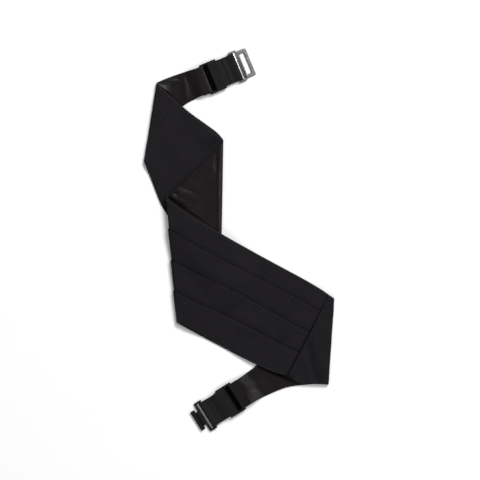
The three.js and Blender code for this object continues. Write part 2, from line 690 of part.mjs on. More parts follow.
// An end of the band: the slide on the wing's end, the strap, and the clasp half, which is
// tipped on its bar until its far edge touches the floor.
function addEnd(end, sign, reach, names, clasp) {
  const [slide, strap, plateName] = names;
  const outward = along(heading(end)).multiplyScalar(sign);
  const spot = fold(centre(end).addScaledVector(outward, -0.01), 0);
  const inner = fold(centre(end).addScaledVector(outward, -5), 0);
  const holder = new THREE.Group();
  holder.position.set(spot.x, spot.y, 0);
  holder.rotation.z = Math.atan2(spot.y - inner.y, spot.x - inner.x);
  const slideMesh = piece(slide, makeSlide(), 'blackMetal');
  slideMesh.position.z = SLIDE_HEIGHT;
  const claspMesh = piece(plateName, clasp.geometry, clasp.finish);
  claspMesh.position.set(reach, 0, CLASP_HEIGHT);
  claspMesh.rotation.y = Math.asin((CLASP_HEIGHT - clasp.thickness / 2) / clasp.reach);
  holder.add(slideMesh, piece(strap, makeStrap(reach), 'elastic'), claspMesh);
  group.add(holder);
}
const eye = { geometry: makeEye(), finish: 'brightMetal', thickness: EYE_THICKNESS, reach: EYE_REACH };
const hook = { geometry: makeHook(), finish: 'blackMetal', thickness: HOOK_THICKNESS, reach: HOOK_REACH };
addEnd(LEFT_END, -1, UPPER_STRAP_REACH, ['slide_upper', 'strap_upper', 'clasp_eye'], eye);
addEnd(RIGHT_END, 1, LOWER_STRAP_REACH, ['slide_lower', 'strap_lower', 'clasp_hook'], hook);

// The origin lies on the floor under the middle of the whole.
group.updateMatrixWorld(true);
const box = new THREE.Box3().setFromObject(group, true);
group.position.set(-(box.min.x + box.max.x) / 2, -(box.min.y + box.max.y) / 2, -box.min.z);

export default group;
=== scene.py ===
"""A black pleated cummerbund lying folded on a pale floor, seen from straight above.

The band's cloth is worked out as a flat pattern that is folded along straight lines, in the same
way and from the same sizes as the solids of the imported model. Lengths are metres.
"""
import math

import bpy
import numpy as np
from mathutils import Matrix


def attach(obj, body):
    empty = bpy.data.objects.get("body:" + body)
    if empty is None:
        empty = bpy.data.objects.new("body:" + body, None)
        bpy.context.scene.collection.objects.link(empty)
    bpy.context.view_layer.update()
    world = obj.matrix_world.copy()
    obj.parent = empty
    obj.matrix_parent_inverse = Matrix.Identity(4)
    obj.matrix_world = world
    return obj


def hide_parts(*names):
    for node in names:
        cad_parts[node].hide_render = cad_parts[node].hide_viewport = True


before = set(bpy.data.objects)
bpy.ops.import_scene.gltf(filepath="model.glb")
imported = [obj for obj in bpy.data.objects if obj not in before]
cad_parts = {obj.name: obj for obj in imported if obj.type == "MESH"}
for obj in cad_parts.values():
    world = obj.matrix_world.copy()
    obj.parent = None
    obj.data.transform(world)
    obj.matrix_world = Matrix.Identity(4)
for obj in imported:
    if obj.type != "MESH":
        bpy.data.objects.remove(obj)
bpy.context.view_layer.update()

bl_info = {
    "name": "Folded cummerbund",
    "version": (1, 0, 0),
    "blender": (4, 5, 0),
    "location": "3D View > Sidebar > Cummerbund",
    "description": "Makes a pleated cummerbund with its straps, slides and clasp",
    "category": "Add Mesh",
}

# Thicknesses and clearances of the cloth, as in the solids.
CLOTH = 0.001
HALF_GAP = 0.00015
FACE = HALF_GAP + CLOTH
FOLD_SLACK = 0.0004
TUCK_HEIGHT = 0.0012
TUCK_LAP = 0.0018
TUCK_SLOT = 0.0003
SEAM_GAP, SEAM_SHADE = 0.0003, 0.0007
TAB_LENGTH = 0.01
# How far past a ply's edge the plies above it come down again, at a fold and at a slide.
FOLD_RUN, END_RUN = 0.045, 0.028
# Cloth turned round a slide's bar at each end, the wings' width at the seam as a share of the
# panel's, and the shares of their rectangles that the wings and the whole band fill.
TURNED_END, WING_WIDTH, WING_AREA, BAND_AREA = 0.018, 0.92, 0.6, 0.77

# How finely the cloth is divided: the step between rulings, the points of a hem and of the
# lining's faces, the shortest ruling that is kept, how tightly a cut ruling is pressed, and the
# least gap between rulings and above the floor.
RULING_STEP, LINING_STEP, OUTLINE_STEP = 0.0022, 0.0016, 0.008
HEM_POINTS, LINING_POINTS = 9, 84
SHORTEST_RULING, PRESSED, PRESSED_STEP = 0.0008, 0.00016, 0.00002
LEAST_STEP, FLOOR_GAP = 0.0004, 0.00002
HEM_INSET, LINING_INSET = 0.00075, 0.0009
# How fast the painted shade next to a pleat's slot fades across the strip.
PAINTED_SHADE_FADE = 12

# The slide, strap and clasp.
STRAP_THICKNESS = 0.0012
STRAP_TAIL = 0.008
STRAP_SEWN_GAP = 0.0003
SIDE_CLEARANCE = 0.0004
BAR_CLEARANCE = 0.0003
SLIDE_BAR = 0.0024
SLIDE_RAIL, SLIDE_RAIL_HEIGHT, SLIDE_RAIL_BEVEL = 0.0018, 0.0032, 0.00055
SLIDE_MIDDLE_BAR = 0.0088
SLIDE_OUTER_BAR = 0.0188
# A thin bar that closes the slide's first slot: place, drop and radius. Studs on the rails.
SLIDE_WEB, SLIDE_WEB_DROP, SLIDE_WEB_RADIUS = 0.00495, 0.0012, 0.0013
SLIDE_STUDS, SLIDE_STUD_RADIUS, SLIDE_STUD_PROUD = (0.0044, 0.0138), 0.0008, 0.0003
CLASP_BAR = 0.0026
CLASP_CHEEK = 0.0023
CLASP_BACK = 0.0023
WING_ROUND = FACE + BAR_CLEARANCE + SLIDE_BAR / 2
SLIDE_HEIGHT = FACE + WING_ROUND
STRAP_ROUND_SLIDE = SLIDE_BAR / 2 + BAR_CLEARANCE + STRAP_THICKNESS / 2
STRAP_ROUND_CLASP = CLASP_BAR / 2 + BAR_CLEARANCE + STRAP_THICKNESS / 2
CLASP_HEIGHT = STRAP_ROUND_CLASP + STRAP_THICKNESS / 2
STRAP_OVER_SLIDE = SLIDE_HEIGHT + STRAP_ROUND_SLIDE
STRAP_UNDER_CLASP = CLASP_HEIGHT - STRAP_ROUND_CLASP
# The sewing: its rows from the strap's end, the margin left at the edges, and each stitch.
STITCH_ROWS, STITCH_MARGIN = np.array((0.0012, 0.0032)), 0.003
STITCH_PITCH, STITCH_HALF, STITCH_RADIUS = 0.0026, 0.0009, 0.00021
STITCH_SLANT, STITCH_PROUD, STITCH_DIP = 0.0001, 0.00006, 0.00018

EYE_SLOT, EYE_CHEEK, EYE_HALF = 0.0046, 0.0104, 0.018
EYE_ARM, EYE_CROSSBAR, EYE_OPENING, EYE_END_BAR = 0.0042, 0.0056, 0.0063, 0.0042
EYE_REACH = EYE_SLOT + EYE_CROSSBAR + EYE_OPENING + EYE_END_BAR
EYE_CORNER, EYE_HOLE_CORNER, EYE_BEVEL, EYE_RIDGE_GAP = 0.0017, 0.0009, 0.0008, 0.0002
# Rods along the eye's crossbar: place, radius and painted light. The first one is polished and
# painted lighter as a highlight; the others get painted shade.
EYE_RIDGES = ((EYE_SLOT - 0.0004, 0.0009, 1.0), (EYE_SLOT + 0.0016, 0.0006, -0.35),
              (EYE_SLOT + 0.0029, 0.0006, -0.35), (EYE_SLOT + 0.0042, 0.0006, -0.35))
HOOK_SLOT, HOOK_CHEEK, HOOK_NECK_HALF, HOOK_NECK = 0.0053, 0.0105, 0.0095, 0.0033
HOOK_HEAD_HALF, HOOK_HEAD, HOOK_MOUTH = 0.0135, 0.0057, 0.0012
HOOK_CORNER, HOOK_BEVEL, HOOK_OVERLAP = 0.0015, 0.0003, 0.001
HOOK_FRAME = HOOK_CHEEK - CLASP_BACK
HOOK_REACH = HOOK_FRAME + HOOK_NECK + HOOK_HEAD

# Where the panel's middle lies, and how far its axis is turned.
PANEL_MIDDLE = np.array((-0.059945, -0.043163))
PANEL_TURN = math.radians(-28.6)

# Sections of the panel: share of half its length, heading in degrees, edges above and below as
# shares of half its width, and the folded edges of three pleats as shares of the width.
PANEL_ROWS = np.array((
    (-1.0, -13, 0.905, 0.88, 0.24, 0.49, 0.73),
    (-0.6, -8, 1.02, 0.94, 0.24, 0.49, 0.73),
    (-0.3, -5, 0.99, 0.97, 0.238, 0.497, 0.733),
    (0.0, -2, 1.0, 0.99, 0.23, 0.475, 0.737),
    (0.4, 0, 1.0, 0.98, 0.213, 0.44, 0.7),
    (0.75, 1, 0.995, 0.965, 0.208, 0.455, 0.7),
    (0.92, 1, 0.975, 0.93, 0.209, 0.462, 0.71),
    (1.0, 1, 0.95, 0.88, 0.21, 0.465, 0.714),
))

# Sections of the wings: share of the wing's length from its seam, heading, and the edges, which
# go from 1 at the seam's width to 0 at the strap's.
LEFT_WING_ROWS = np.array((
    (0.19, -15, 0.99, 0.77), (0.3, -17, 0.84, 0.64), (0.46, -19, 0.55, 0.4),
    (0.62, -17, 0.3, 0.13), (0.75, -11, 0.18, -0.02), (0.89, -4.5, 0.06, -0.03),
    (1.0, -1, 0.0, 0.0),
))
RIGHT_WING_ROWS = np.array((
    (0.09, 1, 0.95, 1.03), (0.15, 1, 0.865, 0.955), (0.27, 0, 0.65, 0.71),
    (0.39, -1, 0.435, 0.47), (0.51, -3, 0.27, 0.29), (0.63, -6, 0.14, 0.135),
    (0.76, -9, 0.045, 0.06), (0.9, -11, 0.0, 0.0), (1.0, -11, 0.0, 0.0),
))

# Creases of the cloth: ply, the two ends in picture points, width and height. A ply is counted
# from the panel's, upwards to the left and downwards to the right.
SHELL_CREASES = (
    (0, (309.6, 343), (319, 384), 0.0042, -0.0019),
    (0, (303, 350), (309, 382), 0.005, 0.0008),
    (2, (149, 172), (156, 168), 0.002, -0.0005),
    (2, (157, 85), (170, 97), 0.003, -0.0006),
    (2, (196, 139), (214, 130), 0.006, 0.0008),
    (0, (178, 205), (198, 218), 0.004, -0.0005),
)
SATIN_CREASES = (
    (1, (152, 190), (218, 232), 0.0036, -0.0030),
    (1, (166, 190.5), (179, 200.5), 0.0016, 0.0013),
    (1, (165, 196), (182, 191.5), 0.0011, -0.0009),
    (1, (170, 189.5), (186, 195), 0.0020, 0.0006),
    (1, (172, 184), (195, 192.5), 0.0024, -0.0009),
    (1, (168, 200), (194, 204), 0.0022, -0.0012),
    (1, (217.2, 148), (216.6, 173), 0.0025, -0.0014),
    (1, (218.8, 140), (219.7, 246), 0.0016, 0.0009),
    (3, (158, 85), (170, 93), 0.0015, 0.0007),
    (3, (159, 84), (172, 86), 0.0015, -0.0010),
    (3, (163, 82), (178, 81), 0.0018, 0.0009),
    (3, (184, 76), (187, 102), 0.0040, 0.0011),
    (3, (193, 72), (198, 98), 0.0040, -0.0008),
    (-1, (250, 368), (252, 390), 0.0065, 0.0002),
    (-1, (240, 386), (250, 404), 0.0040, -0.0005),
    (-1, (246, 396), (252, 406), 0.0020, 0.0008),
    (-1, (262, 372), (276, 394), 0.0055, -0.0005),
)

# Where the cloth sinks into a crevice or lies in soft shade: the same, with a depth up to 1.
SATIN_CREVICES = (
    (1, (152, 187.5), (210, 225), 0.0019, 1.0),
    (1, (154, 188.0), (190, 211.4), 0.0029, 1.0),
    (1, (164, 196), (180, 192.3), 0.0008, 1.0),
    (1, (166, 199), (224, 142), 0.0015, 1.0),
    (1, (223, 132), (214, 156), 0.0026, 1.0),
    (3, (149, 79), (188, 113), 0.0024, 1.0),
    (-1, (252, 364), (300, 385), 0.0028, 1.0),
    (-1, (243, 360), (253, 408), 0.0080, 0.3),
)
SHELL_CREVICES = (
    (0, (307.5, 338), (320, 386), 0.0040, 0.4),
    (0, (312, 352), (325, 388), 0.0025, 0.2),
    (2, (222, 130), (206, 152), 0.0050, 0.3),
)

# Lights: name, place, width and power. The camera's place, height and the width that it sees.
LIGHTS = (
    ("key_light", (1.4, 2.2, 2.7), 1.6, 126.0),
    ("fill_light", (2.5, -0.3, 2.5), 0.44, 18.0),
    ("low_light", (-1.0, -2.2, 2.6), 1.8, 21.0),
)
ROOM_LIGHT = 0.33
CAMERA_PLACE, VIEW_WIDTH, SENSOR = (0.00107, -0.00074, 3.2), 0.6015, 36.0
FLOOR_HALF = 6.0


# ---- The band's flat pattern and its folds
def smoothstep(value, low=0.0, high=1.0):
    """0 below low, 1 above high, and 3t^2 - 2t^3 in between."""
    t = np.clip((value - low) / (high - low), 0, 1)
    return t * t * (3 - 2 * t)


def along(angle):
    """The unit vector at an angle in plan."""
    return np.stack((np.cos(angle), np.sin(angle)), -1)


class Fold:
    """A half turn of a cylinder about a line of the flat pattern. It stands on a foot of a given
    height, and the plies above come down over a given run past its ply."""

    def __init__(self, band, at, skew, radius, foot, run, sign):
        self.at, self.radius, self.foot, self.run = at, radius, foot, run
        self.angle = float(band.heading(at)) + math.pi / 2 + math.radians(skew)
        self.point = band.centre(at)
        self.away = -sign * np.array((-math.sin(self.angle), math.cos(self.angle)))
        self.end = at + sign * math.pi * radius / math.cos(math.radians(skew))


class Band:
    """The flat pattern of the band, and how it is folded and laid.

    A middle line runs at a given heading, the edges and the pleats' folded edges lie at given
    distances from it, and rulings cross it. Each fold carries what lies beyond it round a half
    turn of a cylinder, with the shell outside and inside by turns."""

    def __init__(self, size):
        self.right_seam = size.panel_length / 2
        self.left_seam = -self.right_seam
        self.left_end = self.left_seam - size.left_wing
        self.right_end = self.right_seam + size.right_wing
        self.rows = self._stations(size)
        rise = self.rows[2:] - self.rows[:-2]
        self.slopes = np.pad(rise / rise[:, :1], ((1, 1), (0, 0)))
        self._middle_line()
        s = self.line_s[::2]
        above, below = self.column(2, s), self.column(3, s)
        tucks = [above - (above + below) * self.column(tuck, s) for tuck in (6, 5, 4)]
        across = along(self.heading(s) + math.pi / 2)
        offsets = (-below, *tucks, above)
        self.lines = [self.centre(s) + offset[:, None] * across for offset in offsets]
        half, wing, right = self.right_seam, size.left_wing, size.right_wing
        pressed = FACE + FOLD_SLACK
        self.left = [
            Fold(self, -0.155 * half, 36.7, pressed, FACE + TUCK_HEIGHT, FOLD_RUN, -1),
            Fold(self, -0.673 * half, 47.8, FACE + TUCK_HEIGHT + FOLD_SLACK, FACE, FOLD_RUN, -1),
            Fold(self, self.left_seam - 0.552 * wing, 49.2, pressed, FACE, FOLD_RUN, -1),
            Fold(self, self.left_end, 0, WING_ROUND, FACE, END_RUN, -1),
        ]
        self.right = [
            Fold(self, self.right_seam + 0.187 * right, 24.1, pressed, FACE, FOLD_RUN, 1),
            Fold(self, self.right_end, 0, WING_ROUND, FACE, END_RUN, 1),
        ]
        self.keys = self._keys()
        self.plies = self._plies(self.left) + self._plies(self.right)

    def _stations(self, size):
        """All sections in one table of s, heading, above, below and the three pleats."""
        half, end = size.panel_width / 2, size.strap_width / 2 + 0.0001
        panel = PANEL_ROWS * (self.right_seam, 1, half, half, 1, 1, 1)

        def wing(rows, seam, length):
            table = np.tile(seam, (len(rows), 1))
            table[:, 0] = seam[0] + length * rows[:, 0]
            table[:, 1] = rows[:, 1]
            table[:, 2:4] = end + (seam[2:4] - end) * rows[:, 2:4]
            return table
        left = wing(LEFT_WING_ROWS, panel[0], -size.left_wing)[::-1]
        return np.vstack((left, panel, wing(RIGHT_WING_ROWS, panel[-1], size.right_wing)))

    def column(self, index, s):
        """A column of the sections as a smooth cubic function of s, level past the ends."""
        rows = self.rows
        s = np.clip(s, rows[0, 0], rows[-1, 0])
        i = np.clip(np.searchsorted(rows[:, 0], s, side="right") - 1, 0, len(rows) - 2)
        gap = rows[i + 1, 0] - rows[i, 0]
        t = (s - rows[i, 0]) / gap
        rise = (2 * t - 3) * t * t + 1
        bend = (1 - t) * self.slopes[i, index] - t * self.slopes[i + 1, index]
        return rows[i, index] * rise + rows[i + 1, index] * (1 - rise) + gap * t * (1 - t) * bend

    def heading(self, s):
        return np.radians(self.column(1, s))

    def _middle_line(self):
        """The middle line, summed from its heading in steps of a millimetre."""
        step, margin = 0.001, 0.04
        count = int((self.right_end - self.left_end + 2 * margin) / step) + 1
        self.line_s = self.left_end - margin + step * np.arange(count + 1)
        turns = along(self.heading(self.line_s[:-1] + step / 2)) * step
        line = np.vstack(((0, 0), np.cumsum(turns, 0)))
        self.line = line - [np.interp(0, self.line_s, line[:, axis]) for axis in (0, 1)]

    def centre(self, s):
        return np.stack([np.interp(s, self.line_s, self.line[:, axis]) for axis in (0, 1)], -1)

    def _keys(self):
        """Rulings that the others turn evenly between: s, angle and the spans to the next one."""
        keys = [(self.left[-1].end - TAB_LENGTH, self.left[-1].angle, 4)]
        for fold in reversed(self.left):
            keys += [(fold.end, fold.angle, 14), (fold.at, fold.angle, 0)]
        keys.append((self.right_seam, float(self.heading(self.right_seam)) + math.pi / 2, 0))
        for fold in self.right:
            keys += [(fold.at, fold.angle, 14), (fold.end, fold.angle, 0)]
        keys[-1] = keys[-1][:2] + (4,)
        return keys + [(keys[-1][0] + TAB_LENGTH, keys[-1][1], 0)]

    def ruling_values(self, low, high, step=RULING_STEP):
        """s and angle of the rulings from low to high, closer together in the folds."""
        s, angle = [], []
        for (s0, a0, spans), (s1, a1, _) in zip(self.keys, self.keys[1:]):
            share = np.arange(spans or math.ceil((s1 - s0) / step))
            share = share / len(share)
            s.append(s0 + (s1 - s0) * share)
            angle.append(a0 + (a1 - a0) * share)
        s = np.append(np.concatenate(s), self.keys[-1][0])
        angle = np.append(np.concatenate(angle), self.keys[-1][1])
        low, high = max(low, s[0]), min(high, s[-1])
        inner = s[(s > low + LEAST_STEP) & (s < high - LEAST_STEP)]
        chosen = np.concatenate(([low], inner, [high]))
        return chosen, np.interp(chosen, s, angle)

    def marks(self, s, angle):
        """Where rulings meet the edges and pleats, and halfway between: nine marks each."""
        start, way = self.centre(s), along(angle)
        main = []
        for line in self.lines:
            gap = line - start[:, None]
            side = way[:, :1] * gap[..., 1] - way[:, 1:] * gap[..., 0]
            a, b = side[:, :-1], side[:, 1:]
            crosses = (a * b <= 0) & (a != b)
            t = a / np.where(crosses, a - b, 1)
            met = line[:-1] + t[..., None] * (line[1:] - line[:-1]) - start[:, None]
            offset = np.where(crosses, (met * way[:, None]).sum(-1), np.inf)
            main.append(offset[np.arange(len(s)), np.argmin(np.abs(offset), 1)])
        marks = np.empty((len(s), 9))
        marks[:, ::2] = np.stack(main, 1)
        marks[:, 1::2] = (marks[:, 2::2] + marks[:, :-1:2]) / 2
        return marks

    def fold(self, point, height):
        """Points of the flat pattern, at heights above the gap between shell and lining, carried
        round the folds. Also gives each point's ply: 0 for the panel's, then counted outwards."""
        flat = point.reshape(-1, 2)
        spot = np.column_stack((flat, height.ravel()))
        ply = np.zeros(len(flat), int)
        for sign, folds in ((-1, self.left), (1, self.right)):
            mine = (flat[:, 0] < self.right_seam / 2) == (sign < 0)
            reach = [(flat - fold.point) @ fold.away for fold in folds]
            last = np.full(len(flat), -1)
            for i in range(len(folds)):
                over = (last == i - 1) & (reach[i] > 0) & mine
                if i:
                    over &= reach[i - 1] > math.pi * folds[i - 1].radius
                last[over] = i
            for i in range(len(folds) - 1, -1, -1):
                fold, outside = folds[i], (1 if i % 2 == 0 else -1)
                use = last >= i
                distance = (spot[use, :2] - fold.point) @ fold.away
                turn = np.minimum(distance / fold.radius, math.pi)
                arm = fold.radius + outside * spot[use, 2]
                rolling = (last[use] == i) & (turn < math.pi)
                turned = np.where(rolling, arm * np.sin(turn), math.pi * fold.radius - distance)
                risen = np.where(rolling, outside * (arm * np.cos(turn) - fold.radius),
                                 -2 * outside * fold.radius - spot[use, 2])
                spot[use, :2] += (turned - distance)[:, None] * fold.away
                spot[use, 2] = risen
            ply = np.where(mine, (last + 1) * -sign, ply)
        cos, sin = math.cos(PANEL_TURN), math.sin(PANEL_TURN)
        spot[:, :2] = PANEL_MIDDLE + spot[:, :2] @ np.array(((cos, sin), (-sin, cos)))
        return spot.reshape(*point.shape[:-1], 3), ply.reshape(point.shape[:-1])

    def _plies(self, folds):
        """The ply beyond each fold: its outline in plan, how far it lies below the panel's, and
        the fold's run."""
        plies, depth = [], 0
        for fold, following in zip(folds, folds[1:] + [None]):
            sign = 1 if fold.end > fold.at else -1
            limit = following.at if following else fold.end + sign * TAB_LENGTH
            last = (following.at + following.end) / 2 if following else limit
            s, angle = self.ruling_values(*sorted((fold.end, limit)), OUTLINE_STEP)
            s = np.concatenate(([(fold.at + fold.end) / 2], s[::sign], [last]))
            angle = np.concatenate(([fold.angle], angle[::sign], [(following or fold).angle]))
            marks = self.marks(s, angle)
            above, below = (self.centre(s) + marks[:, k:k + 1] * along(angle) for k in (0, 8))
            outline = np.vstack((above, below[::-1]))
            depth += 2 * fold.radius
            corners = self.fold(outline, np.zeros(len(outline)))[0][:, :2]
            plies.append((corners, depth + fold.foot - FACE, fold.run))
        return plies

    def drape(self, x, y):
        """Height of the panel's ply over the floor: the lowest ply below lifts it, and it slopes
        down again past that ply's edges. Where two slopes meet they are rounded."""
        high, soft = np.zeros_like(x), 0.002
        for outline, depth, run in self.plies:
            lift = depth * (1 - smoothstep(distance_to(outline, x, y), 0, run))
            most, least = np.maximum(high, lift), np.minimum(high, lift)
            overlap = np.maximum(soft - (most - least), 0) * smoothstep(least, 0, soft)
            high = most + overlap ** 2 / (4 * soft) * smoothstep(depth - most, 0, soft)
        return FACE + high


def distance_to(outline, x, y):
    """Distance in plan from points to an outline, none inside it, by all its straight sides."""
    nearest, inside = np.full(x.shape, np.inf), np.zeros(x.shape, bool)
    for a, b in zip(outline, np.roll(outline, -1, 0)):
        span = b - a
        if abs(span[1]) > 1e-12:
            inside ^= ((a[1] > y) != (b[1] > y)) & (x < a[0] + span[0] * (y - a[1]) / span[1])
        share = ((x - a[0]) * span[0] + (y - a[1]) * span[1]) / max(span @ span, 1e-15)
        t = np.clip(share, 0, 1)
        nearest = np.minimum(nearest, np.hypot(x - a[0] - t * span[0], y - a[1] - t * span[1]))
    return np.where(inside, 0, nearest)


# ---- Relief and shade of the cloth
def ripple(x, y, length, seed, waves=9):
    """Soft unevenness from -1 to 1: a mean of sine waves of about one length, in directions and
    phases drawn from a seed."""
    draw = np.random.default_rng(seed)
    angle, phase = draw.uniform(0, 2 * math.pi, (2, waves))
    scale = draw.uniform(0.6, 1.7, waves)
    reach = x[..., None] * np.cos(angle) + y[..., None] * np.sin(angle)
    return np.sin(reach * 2 * math.pi / (length * scale) + phase).sum(-1) * 2 / waves


def plan(px, py):
    """A place in plan from its place in the picture, 1.25 mm to a picture point."""
    return np.array(((px - 240) * 0.00125 + 0.00076, (240 - py) * 0.00125 + 0.00014))


def ridge(x, y, start, end, width):
    """Up to 1 along a straight crease in plan: a bell curve across it and past its ends, times
    the root of a half sine wave along it."""
    span = end - start
    t = np.clip(((x - start[0]) * span[0] + (y - start[1]) * span[1]) / (span @ span), 0, 1)
    away = (x - start[0] - t * span[0]) ** 2 + (y - start[1] - t * span[1]) ** 2
    return np.exp(-away / width ** 2) * np.sin(math.pi * np.clip(t, 0.02, 0.98)) ** 0.5


def creases(x, y, ply, table):
    """The height of each of a table's creases at the points on its own ply, 0 on the others."""
    return np.array([
        np.where(ply == layer, ridge(x, y, plan(*start), plan(*end), width) * height, 0)
        for layer, start, end, width, height in table
    ])


def shell_relief(x, y, ply, point, wear_and_painted_light):
    """Height that the shell's face stands proud: slow unevenness, a finer one on the folded
    edges, and the creases."""
    slow = ripple(point[..., 0], point[..., 1], 0.034, 3) * 0.00022
    fine = ripple(point[..., 0], point[..., 1], 0.011, 5) * (0.00006 + 0.00012 * wear_and_painted_light)
    return np.where(ply == 1, 0.3, 1) * (slow + fine) + creases(x, y, ply, SHELL_CREASES).sum(0)


def satin_relief(x, y, ply, point, wear_and_painted_light):
    """Height that the satin's face stands proud: soft waves where it lies open, and the puckers
    at the folds' ends."""
    waves = ripple(point[..., 0], point[..., 1], 0.042, 11) * 0.00026
    fine = ripple(point[..., 0], point[..., 1], 0.012, 13) * 0.00007
    face = np.where(np.isin(ply, (1, 3, -1)), waves + fine, 0.3 * waves)
    return face + creases(x, y, ply, SATIN_CREASES).sum(0)


def seam_shade(x, y, ply, point, band):
    """Shade of the shell, deeper at the two seams between the panel and the wings."""
    total = 2 * creases(x, y, ply, SHELL_CREVICES).max(0)
    for s in (band.left_seam, band.right_seam):
        away = (point - band.centre(s)) @ along(float(band.heading(s)))
        total = total + np.exp(-(away / SEAM_SHADE) ** 2)
    return -0.5 * total


def satin_shade(x, y, ply, point, band):
    """Shade of the satin, 0 in the open and -1 deep in a crevice or round an end bar."""
    turns = (band.left[-1], band.right[-1])
    reach = np.max([(point - fold.point) @ fold.away for fold in turns], 0)
    crevice = creases(x, y, ply, SATIN_CREVICES).max(0)
    return -np.maximum(crevice, smoothstep(reach, 0.0004, 0.0022))


# ---- Profiles of the cloth
def joined(parts):
    """Stretches of a closed line across the band, one after the other, as five rows: marks from 0
    to 8, an offset along the ruling, a height, how far the relief moves the point, and its wear
    and painted light: above 0 painted lighter, below 0 painted shade."""
    return np.vstack([np.column_stack(np.broadcast_arrays(*part)) for part in parts]).T


def hem(mark, side, way):
    """The shell's rolled edge: an arc of a circle as high as both layers, from the inside of the
    hem round the band's edge to its face, or back again where way is -1."""
    turn = np.linspace(-math.acos((HEM_INSET - FACE) / FACE), math.pi / 2, HEM_POINTS)[::way]
    # The last value, 1.0, paints a highlight along the whole rolled edge.
    return mark, side * (FACE - FACE * np.cos(turn)), FACE * np.sin(turn), 0.3, 1.0


def shell_profile(pleated):
    """The shell across the band: its under face, a rolled hem at each edge, and its upper face.
    A pleated face has three folded edges, each a half circle that laps over the strip above it,
    and the strip behind an edge slopes down from TUCK_HEIGHT to the slot under the next one.
    The last row paints a highlight on the hems and the folded edges, and shade in the slots and
    on the strips next to them."""
    nose = (TUCK_HEIGHT - TUCK_SLOT) / 2
    turn = np.linspace(-math.pi / 2, math.pi / 2, 8)
    t = np.linspace(0.04, 1, 16 if pleated else 44)
    first, end = (6, -TUCK_LAP) if pleated else (0, FACE)
    # Painted shade on the strip's face, deepest next to the slot under the first folded edge.
    painted_shade = np.exp((t - 1) * PAINTED_SHADE_FADE) if pleated else 0
    upper = [(8 + (first - 8) * t, -FACE + (end + FACE) * t, FACE, 1.0, -painted_shade)]
    t = np.linspace(0.03, 1, 17)
    for mark in (6, 4, 2) if pleated else ():
        end = -TUCK_LAP if mark > 2 else FACE
        painted_shade = np.exp((t - 1) * PAINTED_SHADE_FADE) if mark > 2 else 0
        # Last values: painted shade in the slot under each folded edge, a painted highlight on the
        # fold's upper side turning to painted shade on its under side, and a faint painted
        # highlight just behind the fold that turns to painted shade towards the next slot.
        upper += [
            (mark, -TUCK_LAP - 0.0001, FACE + TUCK_SLOT / 2, 0.5, -1.0),
            (mark, np.array((-TUCK_LAP, -TUCK_LAP * 0.6)), FACE + TUCK_SLOT, 1.0, -1.0),
            (mark, -nose + nose * np.cos(turn), FACE + TUCK_SLOT + nose + nose * np.sin(turn), 1.0,
             smoothstep(turn, -1.0, 0.9) * 1.6 - 1.0),
            (mark - 2 * t, -nose + (end + nose) * t,
             FACE + TUCK_HEIGHT * (1 - 0.35 * smoothstep(t) - 0.65 * t), 1.0,
             0.25 * np.exp(-t * 40) - painted_shade),
        ]
    t = np.linspace(0, 1, sum(np.broadcast(*part).size for part in upper))
    under = (8 * t, HEM_INSET * (1 - 2 * t), HALF_GAP, 0.0, 0.0)
    return joined([under, hem(8, -1, 1), *upper, hem(0, 1, -1)])


def lining_profile():
    """The lining across the band, with half round edges that lie inside the shell's hem."""
    half = CLOTH / 2
    t = np.linspace(0, 1, LINING_POINTS)
    turn = np.linspace(-math.pi / 2, math.pi / 2, 7)[1:-1]
    middle, edge = -HALF_GAP - half, LINING_INSET + half
    return joined((
        (8 * t, edge * (1 - 2 * t), -FACE, -1.0, 0.0),
        (8, -edge + half * np.cos(turn), middle + half * np.sin(turn), 0.0, 0.6),
        (8 * (1 - t), -edge * (1 - 2 * t), -HALF_GAP, 0.0, 0.0),
        (0, edge - half * np.cos(turn), middle - half * np.sin(turn), 0.0, 0.6),
    ))


# ---- Meshes
def set_wear_and_painted_light(mesh, values):
    """The attribute that the finishes read: above 0 for worn edges and painted highlights, below 0
    for painted shade.
    """
    attribute = mesh.attributes.new("wear_and_painted_light", "FLOAT", "POINT")
    attribute.data.foreach_set("value", np.asarray(values, np.float32).ravel())


def add_mesh(name, points, faces, uv=None, wear_and_painted_light=None):
    """A smooth mesh object at the origin. Faces are rows of corners, turned to point outwards
    where the volume they enclose comes out negative; uv and the wear and painted light hold a
    value for each point."""
    points = np.asarray(points, float).reshape(-1, 3)
    first, volume = points[faces[:, 0]], 0.0
    for k in range(1, faces.shape[1] - 1):
        spread = np.cross(points[faces[:, k]], points[faces[:, k + 1]])
        volume += np.einsum("ij,ij->", first, spread)
    if volume < 0:
        faces = faces[:, ::-1]
    mesh = bpy.data.meshes.new(name)
    mesh.from_pydata(points.tolist(), [], faces.tolist())
    if uv is not None:
        layer = mesh.uv_layers.new(name="pattern")
        loops = np.empty(len(mesh.loops), int)
        mesh.loops.foreach_get("vertex_index", loops)
        layer.data.foreach_set("uv", np.asarray(uv, np.float32).reshape(-1, 2)[loops].ravel())
    if wear_and_painted_light is not None:
        set_wear_and_painted_light(mesh, wear_and_painted_light)
    mesh.polygons.foreach_set("use_smooth", np.ones(len(mesh.polygons), bool))
    mesh.update()
    piece = bpy.data.objects.new(name, mesh)
    bpy.context.scene.collection.objects.link(piece)
    return piece


def grid(x, y, z):
    """Points of a surface from its three coordinates, each over rows and columns."""
    return np.stack(np.broadcast_arrays(x, y, z), -1).reshape(-1, 3)


